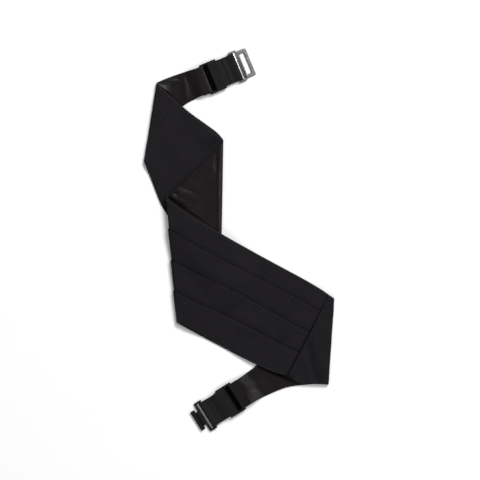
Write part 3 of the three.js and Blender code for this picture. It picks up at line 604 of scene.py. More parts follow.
def tube_faces(rows, ring):
    """Four-sided faces of a grid of rings, and of the two ends, each closed between its halves."""
    i, j = np.meshgrid(np.arange(rows - 1), np.arange(ring), indexing="ij")
    a, b = i * ring + j, i * ring + (j + 1) % ring
    sides = np.stack((a, b, b + ring, a + ring), -1).reshape(-1, 4)
    k = np.arange(ring // 2 - 1)
    cap = np.stack((ring - 1 - k, ring - 2 - k, k + 1, k), -1)
    return np.vstack((sides, cap, (cap + (rows - 1) * ring)[:, ::-1]))


def bundle(parts, split=False):
    """Several point and face sets as one, with four-sided faces split in two where asked."""
    points, faces, base = [], [], 0
    for part, corners in parts:
        if split and corners.shape[1] == 4:
            corners = np.vstack((corners[:, (0, 1, 2)], corners[:, (0, 2, 3)]))
        points.append(part)
        faces.append(corners + base)
        base += len(part)
    return np.vstack(points), np.vstack(faces)


def cloth(name, band, profile, low, high, relief, shading, limit=None, step=RULING_STEP):
    """A layer of the band from low to high along its middle line: the profile at each ruling,
    folded and laid. limit gives for each ruling the span that it keeps, past which its points
    are pressed together. Nothing goes under the floor."""
    mark, offset, height, proud, wear_and_painted_light = profile
    s, angle = band.ruling_values(low, high, step)
    marks = band.marks(s, angle)
    k = np.stack([np.interp(mark, np.arange(9), row) for row in marks]) + offset
    if limit:
        least, most = limit(s, angle)
        longest = np.minimum(np.minimum(most, marks[:, 8]) - least, most - marks[:, 0])
        keep = longest > SHORTEST_RULING
        s, angle, k, least, most = s[keep], angle[keep], k[keep], least[keep], most[keep]
        squeeze = PRESSED_STEP * mark
        k = np.clip(k, least[:, None] + squeeze, most[:, None] - PRESSED + squeeze)
    point = band.centre(s)[:, None] + k[..., None] * along(angle)[:, None]
    height = np.tile(height, (len(s), 1))
    spot, ply = band.fold(point, height)
    lift = relief(spot[..., 0], spot[..., 1], ply, point, wear_and_painted_light) * proud
    spot, ply = band.fold(point, height + lift)
    x, y = spot[..., 0], spot[..., 1]
    spot[..., 2] = np.maximum(spot[..., 2] + band.drape(x, y), FLOOR_GAP)
    # Painted shade of the seams and crevices, added to the profile's wear and painted light.
    wear_and_painted_light = wear_and_painted_light + shading(x, y, ply, point, band)
    return add_mesh(name, spot, tube_faces(len(s), len(mark)), point, wear_and_painted_light)


def seam_limit(band, shift, right):
    """The part of a ruling to the right or the left of the left seam, less a part of its gap."""
    def limit(s, angle):
        tangent = along(float(band.heading(band.left_seam)))
        seam = band.centre(band.left_seam) + shift * tangent
        k = ((seam - band.centre(s)) @ tangent) / (along(angle) @ tangent)
        k = np.where(s < band.left_seam / 4, k, 1.0)
        far = np.ones_like(k)
        return (-far, k) if right else (k, far)
    return limit


class End:
    """An end of the band: x outwards along the strap, y across it and z up from the floor. The
    clasp's bar lies at reach, and its plate is tipped until its far edge rests on the floor."""

    def __init__(self, band, sign, reach, plate_reach, thickness):
        s = band.left_end if sign < 0 else band.right_end
        outward = sign * along(float(band.heading(s)))
        places = [band.centre(s) - gap * outward for gap in (0.00001, 0.005)]
        spots = band.fold(np.array(places), np.zeros(2))[0]
        self.origin = np.array((*spots[0, :2], 0.000003))
        way = spots[0, :2] - spots[1, :2]
        self.turn = math.atan2(way[1], way[0])
        self.reach = reach
        self.tip = math.asin((CLASP_HEIGHT - thickness / 2) / plate_reach)

    def place(self, points):
        """Points of the end's frame in the world."""
        cos, sin = math.cos(self.turn), math.sin(self.turn)
        return points @ np.array(((cos, sin, 0), (-sin, cos, 0), (0, 0, 1))) + self.origin

    def place_clasp(self, points):
        """Points of the clasp's frame, whose bar is at 0, in the world."""
        cos, sin = math.cos(self.tip), math.sin(self.tip)
        tipped = points @ np.array(((cos, 0, -sin), (0, 1, 0), (sin, 0, cos)))
        return self.place(tipped + (self.reach, 0, CLASP_HEIGHT))


def both_ends(size, band):
    """The band's two ends by the names of their pieces: the eye's above, the hook's below."""
    return {
        "upper": End(band, -1, size.upper_reach, EYE_REACH, size.eye_thickness),
        "lower": End(band, 1, size.lower_reach, HOOK_REACH, size.hook_thickness),
    }


def line(start, end, count):
    """Points spaced evenly from a start towards an end, without the end."""
    start = np.array(start)
    return start + (end - start) * np.linspace(0, 1, count, endpoint=False)[:, None]


def rod(x, z, low, high, radius, sides=28, dome=0.0003):
    """A round bar along y with slightly domed ends: circles, the last two at each end drawn in."""
    at = np.array((low, low + 0.2 * dome, low + dome, high - dome, high - 0.2 * dome, high))
    size = radius * np.array((0.02, 0.75, 1, 1, 0.75, 0.02))[:, None]
    turn = np.linspace(0, 2 * math.pi, sides, endpoint=False)
    points = grid(x + size * np.cos(turn), at[:, None], z + size * np.sin(turn))
    return points, tube_faces(len(at), sides)


def prism(outline, low, high, bevel):
    """An outline of x and z carried along y with bevelled ends: rings drawn in towards the
    middle of the outline at both ends, closed by fans from that middle."""
    middle = outline.mean(0)
    away = outline - middle
    rise = np.array((0, 0, 0.3, 1)) * bevel
    at = np.concatenate((low + rise, high - rise[::-1]))[:, None]
    size = np.array((1e-4, 1, 1, 1, 1, 1, 1, 1e-4))[:, None]
    drawn = np.array((0, 1, 0.3, 0, 0, 0.3, 1, 0))[:, None] * bevel
    share = size - drawn / np.linalg.norm(away, axis=1)
    points = grid(middle[0] + away[:, 0] * share, at, middle[1] + away[:, 1] * share)
    return points, tube_faces(len(at), len(outline))


# ---- Straps and slides
def strap_height(x, reach):
    """Height of the strap's middle from the slide's outer bar to the clasp: a smooth step."""
    fall = STRAP_OVER_SLIDE - STRAP_UNDER_CLASP
    return STRAP_OVER_SLIDE - fall * smoothstep(x, SLIDE_OUTER_BAR, reach)


def strap_return(reach, length):
    """The strap's end in x and z, from the clasp's bar back to where it is sewn down."""
    back = np.linspace(0.04, 1, 20)
    x = reach - back * length
    sewn = STRAP_THICKNESS + STRAP_SEWN_GAP
    lift = 2 * STRAP_ROUND_CLASP + (sewn - 2 * STRAP_ROUND_CLASP) * smoothstep(back, 0, 0.75)
    return np.column_stack((x, strap_height(x, reach) + lift))


def strap_route(reach, length):
    """The strap's middle in x and z: from its tail under the slide round the middle bar, over the
    outer bar, down to the clasp, round the clasp's bar and back on top of itself."""
    def arc(x, z, radius, turn):
        return (x, z) + radius * along(np.radians(-90 + turn * np.linspace(0, 1, 18)))
    under = SLIDE_HEIGHT - STRAP_ROUND_SLIDE
    run = line((SLIDE_OUTER_BAR, 0), (reach, 0), 22)
    run[:, 1] = strap_height(run[:, 0], reach)
    return np.vstack((
        line((SLIDE_OUTER_BAR + STRAP_TAIL, STRAP_THICKNESS * 0.7), (SLIDE_OUTER_BAR, under), 8),
        line((SLIDE_OUTER_BAR, under), (SLIDE_MIDDLE_BAR, under), 6),
        arc(SLIDE_MIDDLE_BAR, SLIDE_HEIGHT, STRAP_ROUND_SLIDE, -180),
        line((SLIDE_MIDDLE_BAR, STRAP_OVER_SLIDE), (SLIDE_OUTER_BAR, STRAP_OVER_SLIDE), 14)[1:],
        run,
        arc(reach, CLASP_HEIGHT, STRAP_ROUND_CLASP, 180),
        strap_return(reach, length),
    ))


def round_loop(half_width, half_height, radius, count):
    """A rectangle's outline with round corners, counter-clockwise, as across and up."""
    turn = np.linspace(0, math.pi / 2, count)
    corners = ((1, 1), (-1, 1), (-1, -1), (1, -1))
    return np.vstack([
        np.array(corner) * (half_width - radius, half_height - radius)
        + radius * along(turn + quarter * math.pi / 2)
        for quarter, corner in enumerate(corners)
    ])


def strap(name, end, width, length):
    """The elastic: a strip with round edges carried along its route, narrowing a little between
    the slide and the clasp and thinning out at its sewn end."""
    route = strap_route(end.reach, length)
    way = np.gradient(route, axis=0)
    way /= np.linalg.norm(way, axis=1, keepdims=True)
    normal = np.column_stack((-way[:, 1], way[:, 0]))
    steps = np.linalg.norm(np.diff(route, axis=0), axis=1)
    distance = np.concatenate(((0,), np.cumsum(steps)))
    half, corner = STRAP_THICKNESS / 2, 5
    loop = round_loop(width / 2, half, STRAP_THICKNESS * 0.45, corner)
    across = np.linspace(-1, 1, 24)[1:-1] * (width / 2 - 0.001)
    top, base = (np.column_stack((side * across, np.full(22, -side * half))) for side in (-1, 1))
    ring = np.vstack((loop[:corner], top, loop[corner:-corner], base, loop[-corner:]))
    free = smoothstep(route[:, 0], SLIDE_OUTER_BAR, SLIDE_OUTER_BAR + 0.008)
    free *= 1 - smoothstep(route[:, 0], end.reach - 0.01, end.reach)
    thin = 1 - 0.85 * smoothstep(distance, distance[-1] - 0.003, distance[-1])
    proud = (1 - thin[:, None]) * half + ring[:, 1] * thin[:, None]
    points = grid(route[:, :1] + normal[:, :1] * proud, (1 - 0.016 * free[:, None]) * ring[:, 0],
                  route[:, 1:] + normal[:, 1:] * proud)
    uv = np.stack(np.broadcast_arrays(distance[:, None], ring[:, 0]), -1)
    # Edges worn paler; where the strap runs inside the slide, painted shade instead.
    edge = smoothstep(np.abs(ring[:, 0]), width / 2 - 0.0009, width / 2 - 0.0002)
    shaded_in_slide = 1 - smoothstep(route[:, 0], SLIDE_MIDDLE_BAR - 0.001, SLIDE_MIDDLE_BAR + 0.001)
    wear_and_painted_light = edge - (1 + edge) * shaded_in_slide[:, None]
    return add_mesh(name, end.place(points), tube_faces(len(route), len(ring)), uv, wear_and_painted_light)


def stitches(name, end, width, length):
    """Two rows of sewing across the strap's turned end: each stitch is a short capsule that dips
    into the elastic at both ends."""
    turned = strap_return(end.reach, length)[::-1]
    t = np.linspace(-1, 1, 7)[:, None]
    size = STITCH_RADIUS * np.sqrt(np.clip(1 - t ** 6, 0.02, 1))
    turn = np.linspace(0, 2 * math.pi, 8, endpoint=False)
    count = int((width - STITCH_MARGIN) / STITCH_PITCH)
    parts = []
    for x in end.reach - length + STITCH_ROWS:
        z = np.interp(x, *turned.T) + STRAP_THICKNESS / 2 + STITCH_PROUD - STITCH_DIP * t ** 2
        for y in (np.arange(count) - (count - 1) / 2) * STITCH_PITCH:
            points = grid(x + STITCH_SLANT * t + size * np.cos(turn), y + STITCH_HALF * t,
                          z + size * np.sin(turn))
            parts.append((points, tube_faces(7, 8)))
    points, faces = bundle(parts)
    return add_mesh(name, end.place(points), faces)


def slide(name, end, width):
    """The slide: two upright rails with round ends, three round bars between them, a thin one
    that darkens the first slot, and studs on the rails' outsides. All four bars get painted shade."""
    inner, radius = width / 2 + SIDE_CLEARANCE, SLIDE_RAIL_HEIGHT / 2
    tip = radius * along(np.linspace(-math.pi / 2, math.pi / 2, 12))
    rail = np.vstack(((SLIDE_OUTER_BAR, SLIDE_HEIGHT) + tip, (0, SLIDE_HEIGHT) - tip))
    bars = [(x, SLIDE_HEIGHT, SLIDE_BAR / 2) for x in (0, SLIDE_MIDDLE_BAR, SLIDE_OUTER_BAR)]
    bars.append((SLIDE_WEB, SLIDE_HEIGHT - SLIDE_WEB_DROP, SLIDE_WEB_RADIUS))
    half = inner + SLIDE_RAIL / 2
    parts = [rod(x, z, -half, half, size) for x, z, size in bars]
    # The bars' points, which get painted shade.
    shaded_rod_points = sum(len(points) for points, _ in parts)
    for low in (inner, -inner - SLIDE_RAIL):
        parts.append(prism(rail, low, low + SLIDE_RAIL, SLIDE_RAIL_BEVEL))
    for side in (-1, 1):
        low, high = sorted((side * (inner + 0.001), side * (inner + SLIDE_RAIL + SLIDE_STUD_PROUD)))
        parts += [rod(x, SLIDE_HEIGHT, low, high, SLIDE_STUD_RADIUS, 20) for x in SLIDE_STUDS]
    points, faces = bundle(parts)
    return add_mesh(name, end.place(points), faces, wear_and_painted_light=-1.0 * (np.arange(len(points)) < shaded_rod_points))


# ---- The clasp
def rounded(corners, radius, count=6):
    """A polygon with its corners rounded by arcs: on each corner's two sides the outline leaves
    at the same distance, and a quadratic curve joins them."""
    corners = np.asarray(corners, float)
    t = np.linspace(0, 1, count)[:, None]
    out = []
    for a, b, c in zip(np.roll(corners, 1, 0), corners, np.roll(corners, -1, 0)):
        into, away = np.linalg.norm(a - b), np.linalg.norm(c - b)
        cut = min(radius, into * 0.45, away * 0.45)
        start, end = b + (a - b) / into * cut, b + (c - b) / away * cut
        out.append((1 - t) ** 2 * start + 2 * t * (1 - t) * b + t ** 2 * end)
    return np.vstack(out)


def plate(outlines, thickness, bevel):
    """A flat plate with round edges, as points and triangles: a filled flat curve with its holes,
    given its thickness by the curve's own extrusion and bevel."""
    curve = bpy.data.curves.new("plate", "CURVE")
    curve.dimensions, curve.fill_mode = "2D", "BOTH"
    curve.extrude, curve.bevel_depth, curve.bevel_resolution = thickness / 2 - bevel, bevel, 3
    curve.offset = -bevel
    for outline in outlines:
        spline = curve.splines.new("POLY")
        spline.points.add(len(outline) - 1)
        spline.use_cyclic_u = True
        flat = np.pad(outline, ((0, 0), (0, 1)))
        spline.points.foreach_set("co", np.insert(flat, 3, 1, axis=1).ravel())
    holder = bpy.data.objects.new("plate", curve)
    bpy.context.scene.collection.objects.link(holder)
    depsgraph = bpy.context.evaluated_depsgraph_get()
    mesh = bpy.data.meshes.new_from_object(holder.evaluated_get(depsgraph))
    mesh.calc_loop_triangles()
    points = np.empty(len(mesh.vertices) * 3)
    mesh.vertices.foreach_get("co", points)
    faces = np.empty(len(mesh.loop_triangles) * 3, int)
    mesh.loop_triangles.foreach_get("vertices", faces)
    bpy.data.objects.remove(holder)
    bpy.data.curves.remove(curve)
    bpy.data.meshes.remove(mesh)
    return points.reshape(-1, 3), faces.reshape(-1, 3)


def cheeked(slot, cheek, half, reach, inner):
    """The outline of a clasp's plate with a cheek at each of the strap's edges."""
    wide, front = inner + CLASP_CHEEK, cheek - CLASP_BACK
    above = np.array(((reach, half), (front, half), (front, wide), (-CLASP_BACK, wide),
                      (-CLASP_BACK, inner), (slot, inner)))
    return np.vstack((above, above[::-1] * (1, -1)))


def clasp_bar(inner):
    """The clasp's round bar between its cheeks."""
    return rod(0, 0, -inner - 0.001, inner + 0.001, CLASP_BAR / 2)


def hook_head(thick):
    """The hook's head: a strip that runs out, bends over in a half circle and comes back above a
    mouth, carried across, with both its ends drawn in to its middle as a quarter circle."""
    lip, rise = HOOK_FRAME + HOOK_NECK, (HOOK_MOUTH + thick) / 2
    bend = HOOK_REACH - thick - HOOK_MOUTH / 2
    turn = np.linspace(-math.pi / 2, math.pi / 2, 14)

    def face(radius, start):
        arc = (bend, rise) + radius * along(turn)
        back = line(arc[-1], (lip, rise + radius), 8)[1:]
        return np.vstack((line((lip, start), arc[0], 8), arc, back))
    outside = face(thick + HOOK_MOUTH / 2, -thick / 2)
    inside = face(HOOK_MOUTH / 2, thick / 2)
    edge = 1 - 0.04 * (1 - np.cos(np.linspace(math.pi / 2, 0, 6)))
    across = np.concatenate((-edge[::-1], np.linspace(-0.9, 0.9, 9), edge))
    past = np.clip((np.abs(across) - 0.93) / 0.07, 0, 1)
    squash = np.sqrt(np.clip(1 - past ** 2, 0.02, 1))[:, None, None]
    ring = np.vstack((outside, inside[::-1]))
    middle = (ring + np.vstack((inside, outside[::-1]))) / 2
    flat = middle + (ring - middle) * squash
    points = grid(flat[..., 0], across[:, None] * HOOK_HEAD_HALF, flat[..., 1])
    return points, tube_faces(len(across), len(ring))


def settle(piece, material, body, node):
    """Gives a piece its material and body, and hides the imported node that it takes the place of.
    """
    piece.data.materials.append(material)
    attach(piece, body)
    if node:
        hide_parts(node)


def finish_clasp(name, end, parts, painted_light, node, material):
    """Puts a clasp's parts into one object that turns with the body of its name. Each part has a
    painted light, from 1, a painted highlight on the polished rod, to -1, painted shade, and
    gets painted shade where its surface slopes away from straight up."""
    points, faces = bundle(parts, split=True)
    piece = add_mesh(name, end.place_clasp(points), faces)
    normals = np.empty(len(points) * 3)
    piece.data.vertex_normals.foreach_get("vector", normals)
    painted_light = np.repeat(painted_light, [len(part) for part, _ in parts])
    painted_slope_shade = smoothstep(1 - np.abs(normals[2::3]), 0.01, 0.3)
    set_wear_and_painted_light(piece.data, np.where(painted_light > 0, painted_light, painted_light - painted_slope_shade))
    piece.data.set_sharp_from_angle(angle=math.radians(40))
    settle(piece, material, name, node)


# ---- Materials
class Value:
    """A shader socket that sums, differences and products can be written with."""

    def __init__(self, finish, socket):
        self.finish, self.socket = finish, socket

    def __add__(self, other):
        return self.finish.math("ADD", self, other)

    def __mul__(self, other):
        return self.finish.math("MULTIPLY", self, other)

    def __sub__(self, other):
        return self.finish.math("SUBTRACT", self, other)

    def __rsub__(self, other):
        return self.finish.math("SUBTRACT", other, self)

    __radd__ = __add__
    __rmul__ = __mul__

    def wave(self):
        """The sine of the value, brought between 0 and 1."""
        return self.finish.math("SINE", self) * 0.5 + 0.5

    def clamped(self):
        return self.finish.math("ADD", self, 0.0, clamp=True)


class Finish:
    """A material's nodes while they are being written."""

    def __init__(self, name):
        self.material = bpy.data.materials.new(name)
        self.material.use_nodes = True
        self.tree = self.material.node_tree
        self.tree.nodes.clear()

    def node(self, kind, settings=None, inputs=None, output=0):
        """A node of a kind, its settings set first, then its inputs by name or place."""
        node = self.tree.nodes.new("ShaderNode" + kind)
        for key, value in (settings or {}).items():
            setattr(node, key, value)
        for key, value in (inputs or {}).items():
            if isinstance(value, Value):
                self.tree.links.new(value.socket, node.inputs[key])
            else:
                node.inputs[key].default_value = value
        return Value(self, node.outputs[output]) if len(node.outputs) else None

    def math(self, operation, *values, clamp=False):
        settings = {"operation": operation, "use_clamp": clamp}
        return self.node("Math", settings, dict(enumerate(values)))

    def stretched(self, vector, scale):
        return self.node("VectorMath", {"operation": "MULTIPLY"}, {0: vector, 1: scale})

    def pattern(self):
        """The cloth's own flat map in millimetres, and its two axes."""
        at = self.stretched(self.node("UVMap", {"uv_map": "pattern"}), (1000.0, 1000.0, 0.0))
        return at, self.axis(at, 0), self.axis(at, 1)

    def place(self, scale=1000.0):
        """Object coordinates, in millimetres unless another scale is given."""
        return self.stretched(self.node("TexCoord", output="Object"), (scale, scale, scale))

    def axis(self, vector, index):
        return self.node("SeparateXYZ", None, {0: vector}, index)

    def noise(self, vector, scale, detail=3.0, rough=0.5):
        inputs = {"Vector": vector, "Scale": scale, "Detail": detail, "Roughness": rough}
        return self.node("TexNoise", None, inputs)

    def wear_and_painted_light(self):
        return self.node("Attribute", {"attribute_name": "wear_and_painted_light"}, output="Fac")

    def wear_and_highlight(self):
        """The wear and the painted highlight on the surface, from 0 to 1."""
        return self.wear_and_painted_light().clamped()

    def painted_shade(self):
        """How much painted shade the surface gets, from 0 to 1."""
        return (self.wear_and_painted_light() * -1.0).clamped()

    def mix(self, share, first, second):
        """A colour between two others."""
        return self.node("Mix", {"data_type": "RGBA"}, {0: share, 6: first, 7: second}, 2)

    def bump(self, height, distance, strength, under=None):
        """A bumped normal, on top of another where one is given."""
        inputs = {"Height": height, "Distance": distance, "Strength": strength}
        return self.node("Bump", None, {**inputs, "Normal": under} if under else inputs)

    def surface(self, inputs, painted_shade=None):
        """The finished surface, with a matte black one mixed in as painted shade."""
        shader = self.node("BsdfPrincipled", None, inputs)
        if painted_shade:
            shade_surface = self.node("BsdfDiffuse", None, {"Color": (0.0012, 0.0011, 0.0012, 1.0)})
            shader = self.node("MixShader", None, {0: painted_shade, 1: shader, 2: shade_surface})
        self.node("OutputMaterial", None, {"Surface": shader})
        return self.material


def shade(colour, factor):
    """A colour made lighter or darker."""
    return tuple(min(1.0, part * factor) for part in colour) + (1.0,)


def shell_cloth(colour):
    """Matte black cloth with fine broken ribs and faint cloudiness, with a painted highlight on its
    rolled hems and the pleats' folded edges and painted shade in grooves, seams and crevices.
    """
    f = Finish("matte ribbed cloth")
    at, x, y = f.pattern()
    broken = f.noise(at, 1.3, 2.0)
    ribs = (y * 9.0 + broken * 5.0).wave()
    cross = (x * 7.0 + broken * 4.0).wave()
    weave = ribs * 0.65 + cross * 0.35
    speck = f.noise(at, 0.62, 3.0, 0.75)
    cloud = f.noise(at, 0.035, 2.0)
    wear_and_highlight = f.wear_and_highlight()
    tone = (weave * 0.25 + (speck - 0.5) * 3.8 + cloud * 0.5 + 0.1).clamped()
    base = f.mix(tone, shade(colour, 0.3), shade(colour, 2.1))
    return f.surface({
        # Painted highlight: the base colour lighter on the hems and the pleats' folded edges.
        "Base Color": f.mix(wear_and_highlight * 0.25, base, shade(colour, 3.0)),
        "Roughness": 0.72 + weave * 0.12 - wear_and_highlight * 0.08,
        "Normal": f.bump(weave * 0.35 + speck, 0.0003, 0.6),
        "Specular IOR Level": 0.12, "Sheen Weight": 0.012, "Sheen Roughness": 0.45,
        "Sheen Tint": (0.75, 0.72, 0.78, 1.0),
    }, f.painted_shade() * 0.9)


def lining_satin(colour):
    """Brownish-black satin: long fine floats, small creases and a soft gloss, with painted shade in
    its crevices and round the end bars, and paler rounded edges.
    """
    f = Finish("lining satin")
    at, x, y = f.pattern()
    floats = f.noise(f.stretched(at, (0.25, 2.6, 0.0)), 1.4, 2.0)
    twill = ((x + y * 2.2) * 6.0).wave()
    cloud = f.noise(at, 0.05, 2.0)
    crumple = f.noise(f.stretched(at, (1.0, 0.7, 0.0)), 0.11, 2.0, 0.55)
    tone = (floats * 0.7 + cloud * 0.6 - 0.15).clamped()
    base = f.mix(tone, shade(colour, 0.7), shade(colour, 1.35))
    fine = f.bump(floats * 0.6 + twill * 0.4, 0.00005, 0.3)
    return f.surface({
        "Base Color": f.mix(f.wear_and_highlight() * 0.3, base, shade(colour, 2.2)),
        "Roughness": 0.3 + floats * 0.1 + cloud * 0.08,
        "Normal": f.bump(crumple, 0.0011, 0.5, fine),
        "Specular IOR Level": 0.21, "Sheen Weight": 0.01, "Sheen Roughness": 0.35,
        "Sheen Tint": (0.8, 0.7, 0.68, 1.0),
    }, f.painted_shade() * 0.95)


def elastic_web(colour):
    """Black woven elastic: ribs across it, cords along it and a firmer edge worn paler, with
    painted shade where it runs inside a slide.
    """
    f = Finish("woven elastic")
    at, x, y = f.pattern()
    broken = f.noise(at, 1.6, 2.0)
    ribs = (x * 6.6 + broken * 1.2).wave()
    cords = (y * 5.4).wave()
    weave = ribs * 0.55 + cords * 0.45
    cloud = f.noise(at, 0.12, 2.0)
    tone = (weave * 0.6 + cloud * 0.5 - 0.1).clamped()
    base = f.mix(tone, shade(colour, 0.6), shade(colour, 1.5))
    return f.surface({
        "Base Color": f.mix(f.wear_and_highlight() * 0.4, base, shade(colour, 2.3)),
        "Roughness": 0.66 + weave * 0.15,
        "Normal": f.bump(weave + broken * 0.3, 0.00016, 0.5),
        "Specular IOR Level": 0.14, "Sheen Weight": 0.01, "Sheen Roughness": 0.5,
    }, f.painted_shade() * 0.9)


def sewing_thread(colour):
    """Twisted black thread with a slight gloss."""
    f = Finish("sewing thread")
    at = f.place()
    twist = ((f.axis(at, 0) + f.axis(at, 1) + f.axis(at, 2)) * 18.0).wave()
    return f.surface({
        "Base Color": f.mix(twist, shade(colour, 0.8), shade(colour, 2.0)),
        "Roughness": 0.5 + twist * 0.1, "Normal": f.bump(twist, 0.00005, 0.4),
    })


def black_enamel(colour):
    """Black enamel over metal, with a slight orange peel and rubbed paler patches, and painted
    shade on the slides' bars and on the hook's faces that slope away.
    """
    f = Finish("black enamel")
    at = f.place()
    peel = f.noise(at, 1.1, 2.0)
    rubbed = (f.noise(at, 0.35, 4.0, 0.65) * 3.2 - 1.75).clamped()
    return f.surface({
        "Base Color": f.mix(rubbed * 0.4, shade(colour, 1.0), shade(colour, 2.0)),
        "Roughness": 0.34 + rubbed * 0.12 + peel * 0.05,
        "Normal": f.bump(peel, 0.00005, 0.35), "Specular IOR Level": 0.16,
    }, f.painted_shade() * 0.8)


def bright_nickel(colour):
    """Bright plating with fine scratches, cloudy spots and a slightly uneven face, with painted
    shade on sloping faces and the ridged rods and a painted highlight on the polished rod.
    """
    f = Finish("bright nickel")
    at = f.place()
    lines = f.noise(f.stretched(at, (0.35, 4.5, 1.0)), 2.4, 3.0)
    cloud = f.noise(at, 0.6, 3.0, 0.6)
    spots = (f.noise(at, 0.8, 3.0, 0.7) * 6.0 - 2.9).clamped()
    base = f.mix(spots * 0.9, shade(colour, 1.2), shade(colour, 0.1))
    # Painted shade on sloping faces and the ridged rods.
    base = f.mix(f.painted_shade(), base, shade(colour, 0.06))
    return f.surface({
        # Painted highlight: the polished rod made lighter.
        "Base Color": f.mix(f.wear_and_highlight(), base, shade(colour, 3.8)),
        "Metallic": 1.0 - spots * 0.2, "Roughness": 0.3 + cloud * 0.1 + spots * 0.15,
        "Normal": f.bump(cloud, 0.0005, 0.35, f.bump(lines, 0.00003, 0.3)),
    })


def floor_paper():
    """Plain pale paper with a faint grain."""
    f = Finish("pale floor")
    grain = f.noise(f.place(1.0), 60.0, 2.0)
    base = f.mix(grain, (0.912, 0.912, 0.912, 1.0), (0.922, 0.922, 0.922, 1.0))
    return f.surface({"Base Color": base, "Roughness": 0.9, "Specular IOR Level": 0.1})


# ---- Add-on
def length_prop(name, description, default):
    return bpy.props.FloatProperty(name=name, description=description, default=default, min=0.001,
                                   unit="LENGTH", precision=4)


def colour_prop(name, description, default):
    return bpy.props.FloatVectorProperty(name=name, description=description, default=default,
                                         size=3, min=0, max=1, subtype="COLOR")


class CummerbundSizes(bpy.types.PropertyGroup):
    """Sizes of the band, the straps and the clasp."""

    panel_length: length_prop("Panel length", "Length of the pleated front panel", 0.33)
    panel_width: length_prop("Panel width", "Depth of the panel from edge to edge", 0.125)
    left_wing: length_prop("Left wing", "Length of the wing that carries the eye", 0.1853)
    right_wing: length_prop("Right wing", "Length of the wing that carries the hook", 0.1655)
    strap_width: length_prop("Strap width", "Width of the elastic", 0.035)
    upper_reach: length_prop("Upper reach", "From the wing's end to the eye's bar", 0.04)
    lower_reach: length_prop("Lower reach", "From the wing's end to the hook's bar", 0.0434)
    strap_return: length_prop("Sewn return", "Length of elastic turned back at the clasp", 0.013)
    eye_thickness: length_prop("Eye thickness", "Thickness of the eye's plate", 0.0018)
    hook_thickness: length_prop("Hook thickness", "Thickness of the hook's plate", 0.0012)


class CummerbundColours(bpy.types.PropertyGroup):
    """Colours of the finishes."""

    shell: colour_prop("Shell", "Matte outer cloth", (0.0066, 0.0056, 0.0070))
    satin: colour_prop("Satin", "Lining", (0.0043, 0.0024, 0.0031))
    elastic: colour_prop("Elastic", "Straps", (0.0068, 0.0060, 0.0070))
    enamel: colour_prop("Enamel", "Slides and hook", (0.0060, 0.0060, 0.0064))
    nickel: colour_prop("Nickel", "Eye", (0.21, 0.21, 0.22))
    thread: colour_prop("Thread", "Sewing", (0.0110, 0.0105, 0.0115))


def chosen():
    """The sizes, the band made to them, and the colours."""
    scene = bpy.context.scene
    return scene.cummerbund_sizes, Band(scene.cummerbund_sizes), scene.cummerbund_colours


class CUMMERBUND_OT_stage(bpy.types.Operator):
    """Lay the pale floor, hang the lights and set the camera"""

    bl_idname = "cummerbund.stage"
    bl_label = "Stage"

    def execute(self, context):
        scene = context.scene
        mesh = bpy.data.meshes.new("pale_floor")
        signs = ((-1, -1), (1, -1), (1, 1), (-1, 1))
        corners = [(x * FLOOR_HALF, y * FLOOR_HALF, 0) for x, y in signs]
        mesh.from_pydata(corners, [], [(0, 1, 2, 3)])
        floor = bpy.data.objects.new("pale_floor", mesh)
        floor.data.materials.append(floor_paper())
        scene.collection.objects.link(floor)
        for name, place, width, power in LIGHTS:
            light = bpy.data.lights.new(name, "AREA")
            light.shape, light.size, light.energy = "DISK", width, power
            lamp = bpy.data.objects.new(name, light)
            lamp.location = place
            lamp.rotation_mode = "QUATERNION"
            lamp.rotation_quaternion = (-lamp.location).to_track_quat("-Z", "Y")
            scene.collection.objects.link(lamp)
        world = bpy.data.worlds.new("soft room")
        world.use_nodes = True
        room = world.node_tree.nodes["Background"].inputs
        room["Color"].default_value = (1.0, 1.0, 1.0, 1.0)
        room["Strength"].default_value = ROOM_LIGHT
        scene.world = world
        scene.view_settings.view_transform = "Standard"
        lens = bpy.data.cameras.new("camera")
        lens.sensor_width, lens.lens = SENSOR, SENSOR * CAMERA_PLACE[2] / VIEW_WIDTH
        camera = bpy.data.objects.new("camera", lens)
        camera.location = CAMERA_PLACE
        scene.collection.objects.link(camera)
        scene.camera = camera
        return {"FINISHED"}


class CUMMERBUND_OT_lining(bpy.types.Operator):
    """Make the satin lining of the whole band"""

    bl_idname = "cummerbund.lining"
    bl_label = "Satin lining"

    def execute(self, context):
        size, band, colours = chosen()
        piece = cloth("satin_lining", band, lining_profile(), -1, 1, satin_relief, satin_shade,
                      step=LINING_STEP)
        settle(piece, lining_satin(colours.satin), "band", "lining")
        return {"FINISHED"}


class CUMMERBUND_OT_pleated_front(bpy.types.Operator):
    """Make the pleated front panel's shell"""

    bl_idname = "cummerbund.pleated_front"
    bl_label = "Pleated front"

    def execute(self, context):
        size, band, colours = chosen()
        piece = cloth("pleated_front", band, shell_profile(True), -1,
                      band.right_seam - SEAM_GAP / 2, shell_relief, seam_shade,
                      seam_limit(band, SEAM_GAP / 2, True))
        settle(piece, shell_cloth(colours.shell), "band", "pleated_panel")
        return {"FINISHED"}


class CUMMERBUND_OT_wings(bpy.types.Operator):
    """Make the plain shells of the two wings"""

    bl_idname = "cummerbund.wings"
    bl_label = "Wings"

    def execute(self, context):
        size, band, colours = chosen()
        material = shell_cloth(colours.shell)
        seam = seam_limit(band, -SEAM_GAP / 2, False)
        for side, length, low, high, limit in (
            ("left", size.left_wing, -1, band.left_seam / 4, seam),
            ("right", size.right_wing, band.right_seam + SEAM_GAP / 2, 1, None),
        ):
            piece = cloth(side + "_wing", band, shell_profile(False), low, high, shell_relief,
                          seam_shade, limit)
            settle(piece, material, "band", "wing_shell_" + side)
            flat = (length + TURNED_END, size.panel_width * WING_WIDTH)
            flat[0] * flat[1] * WING_AREA
        return {"FINISHED"}


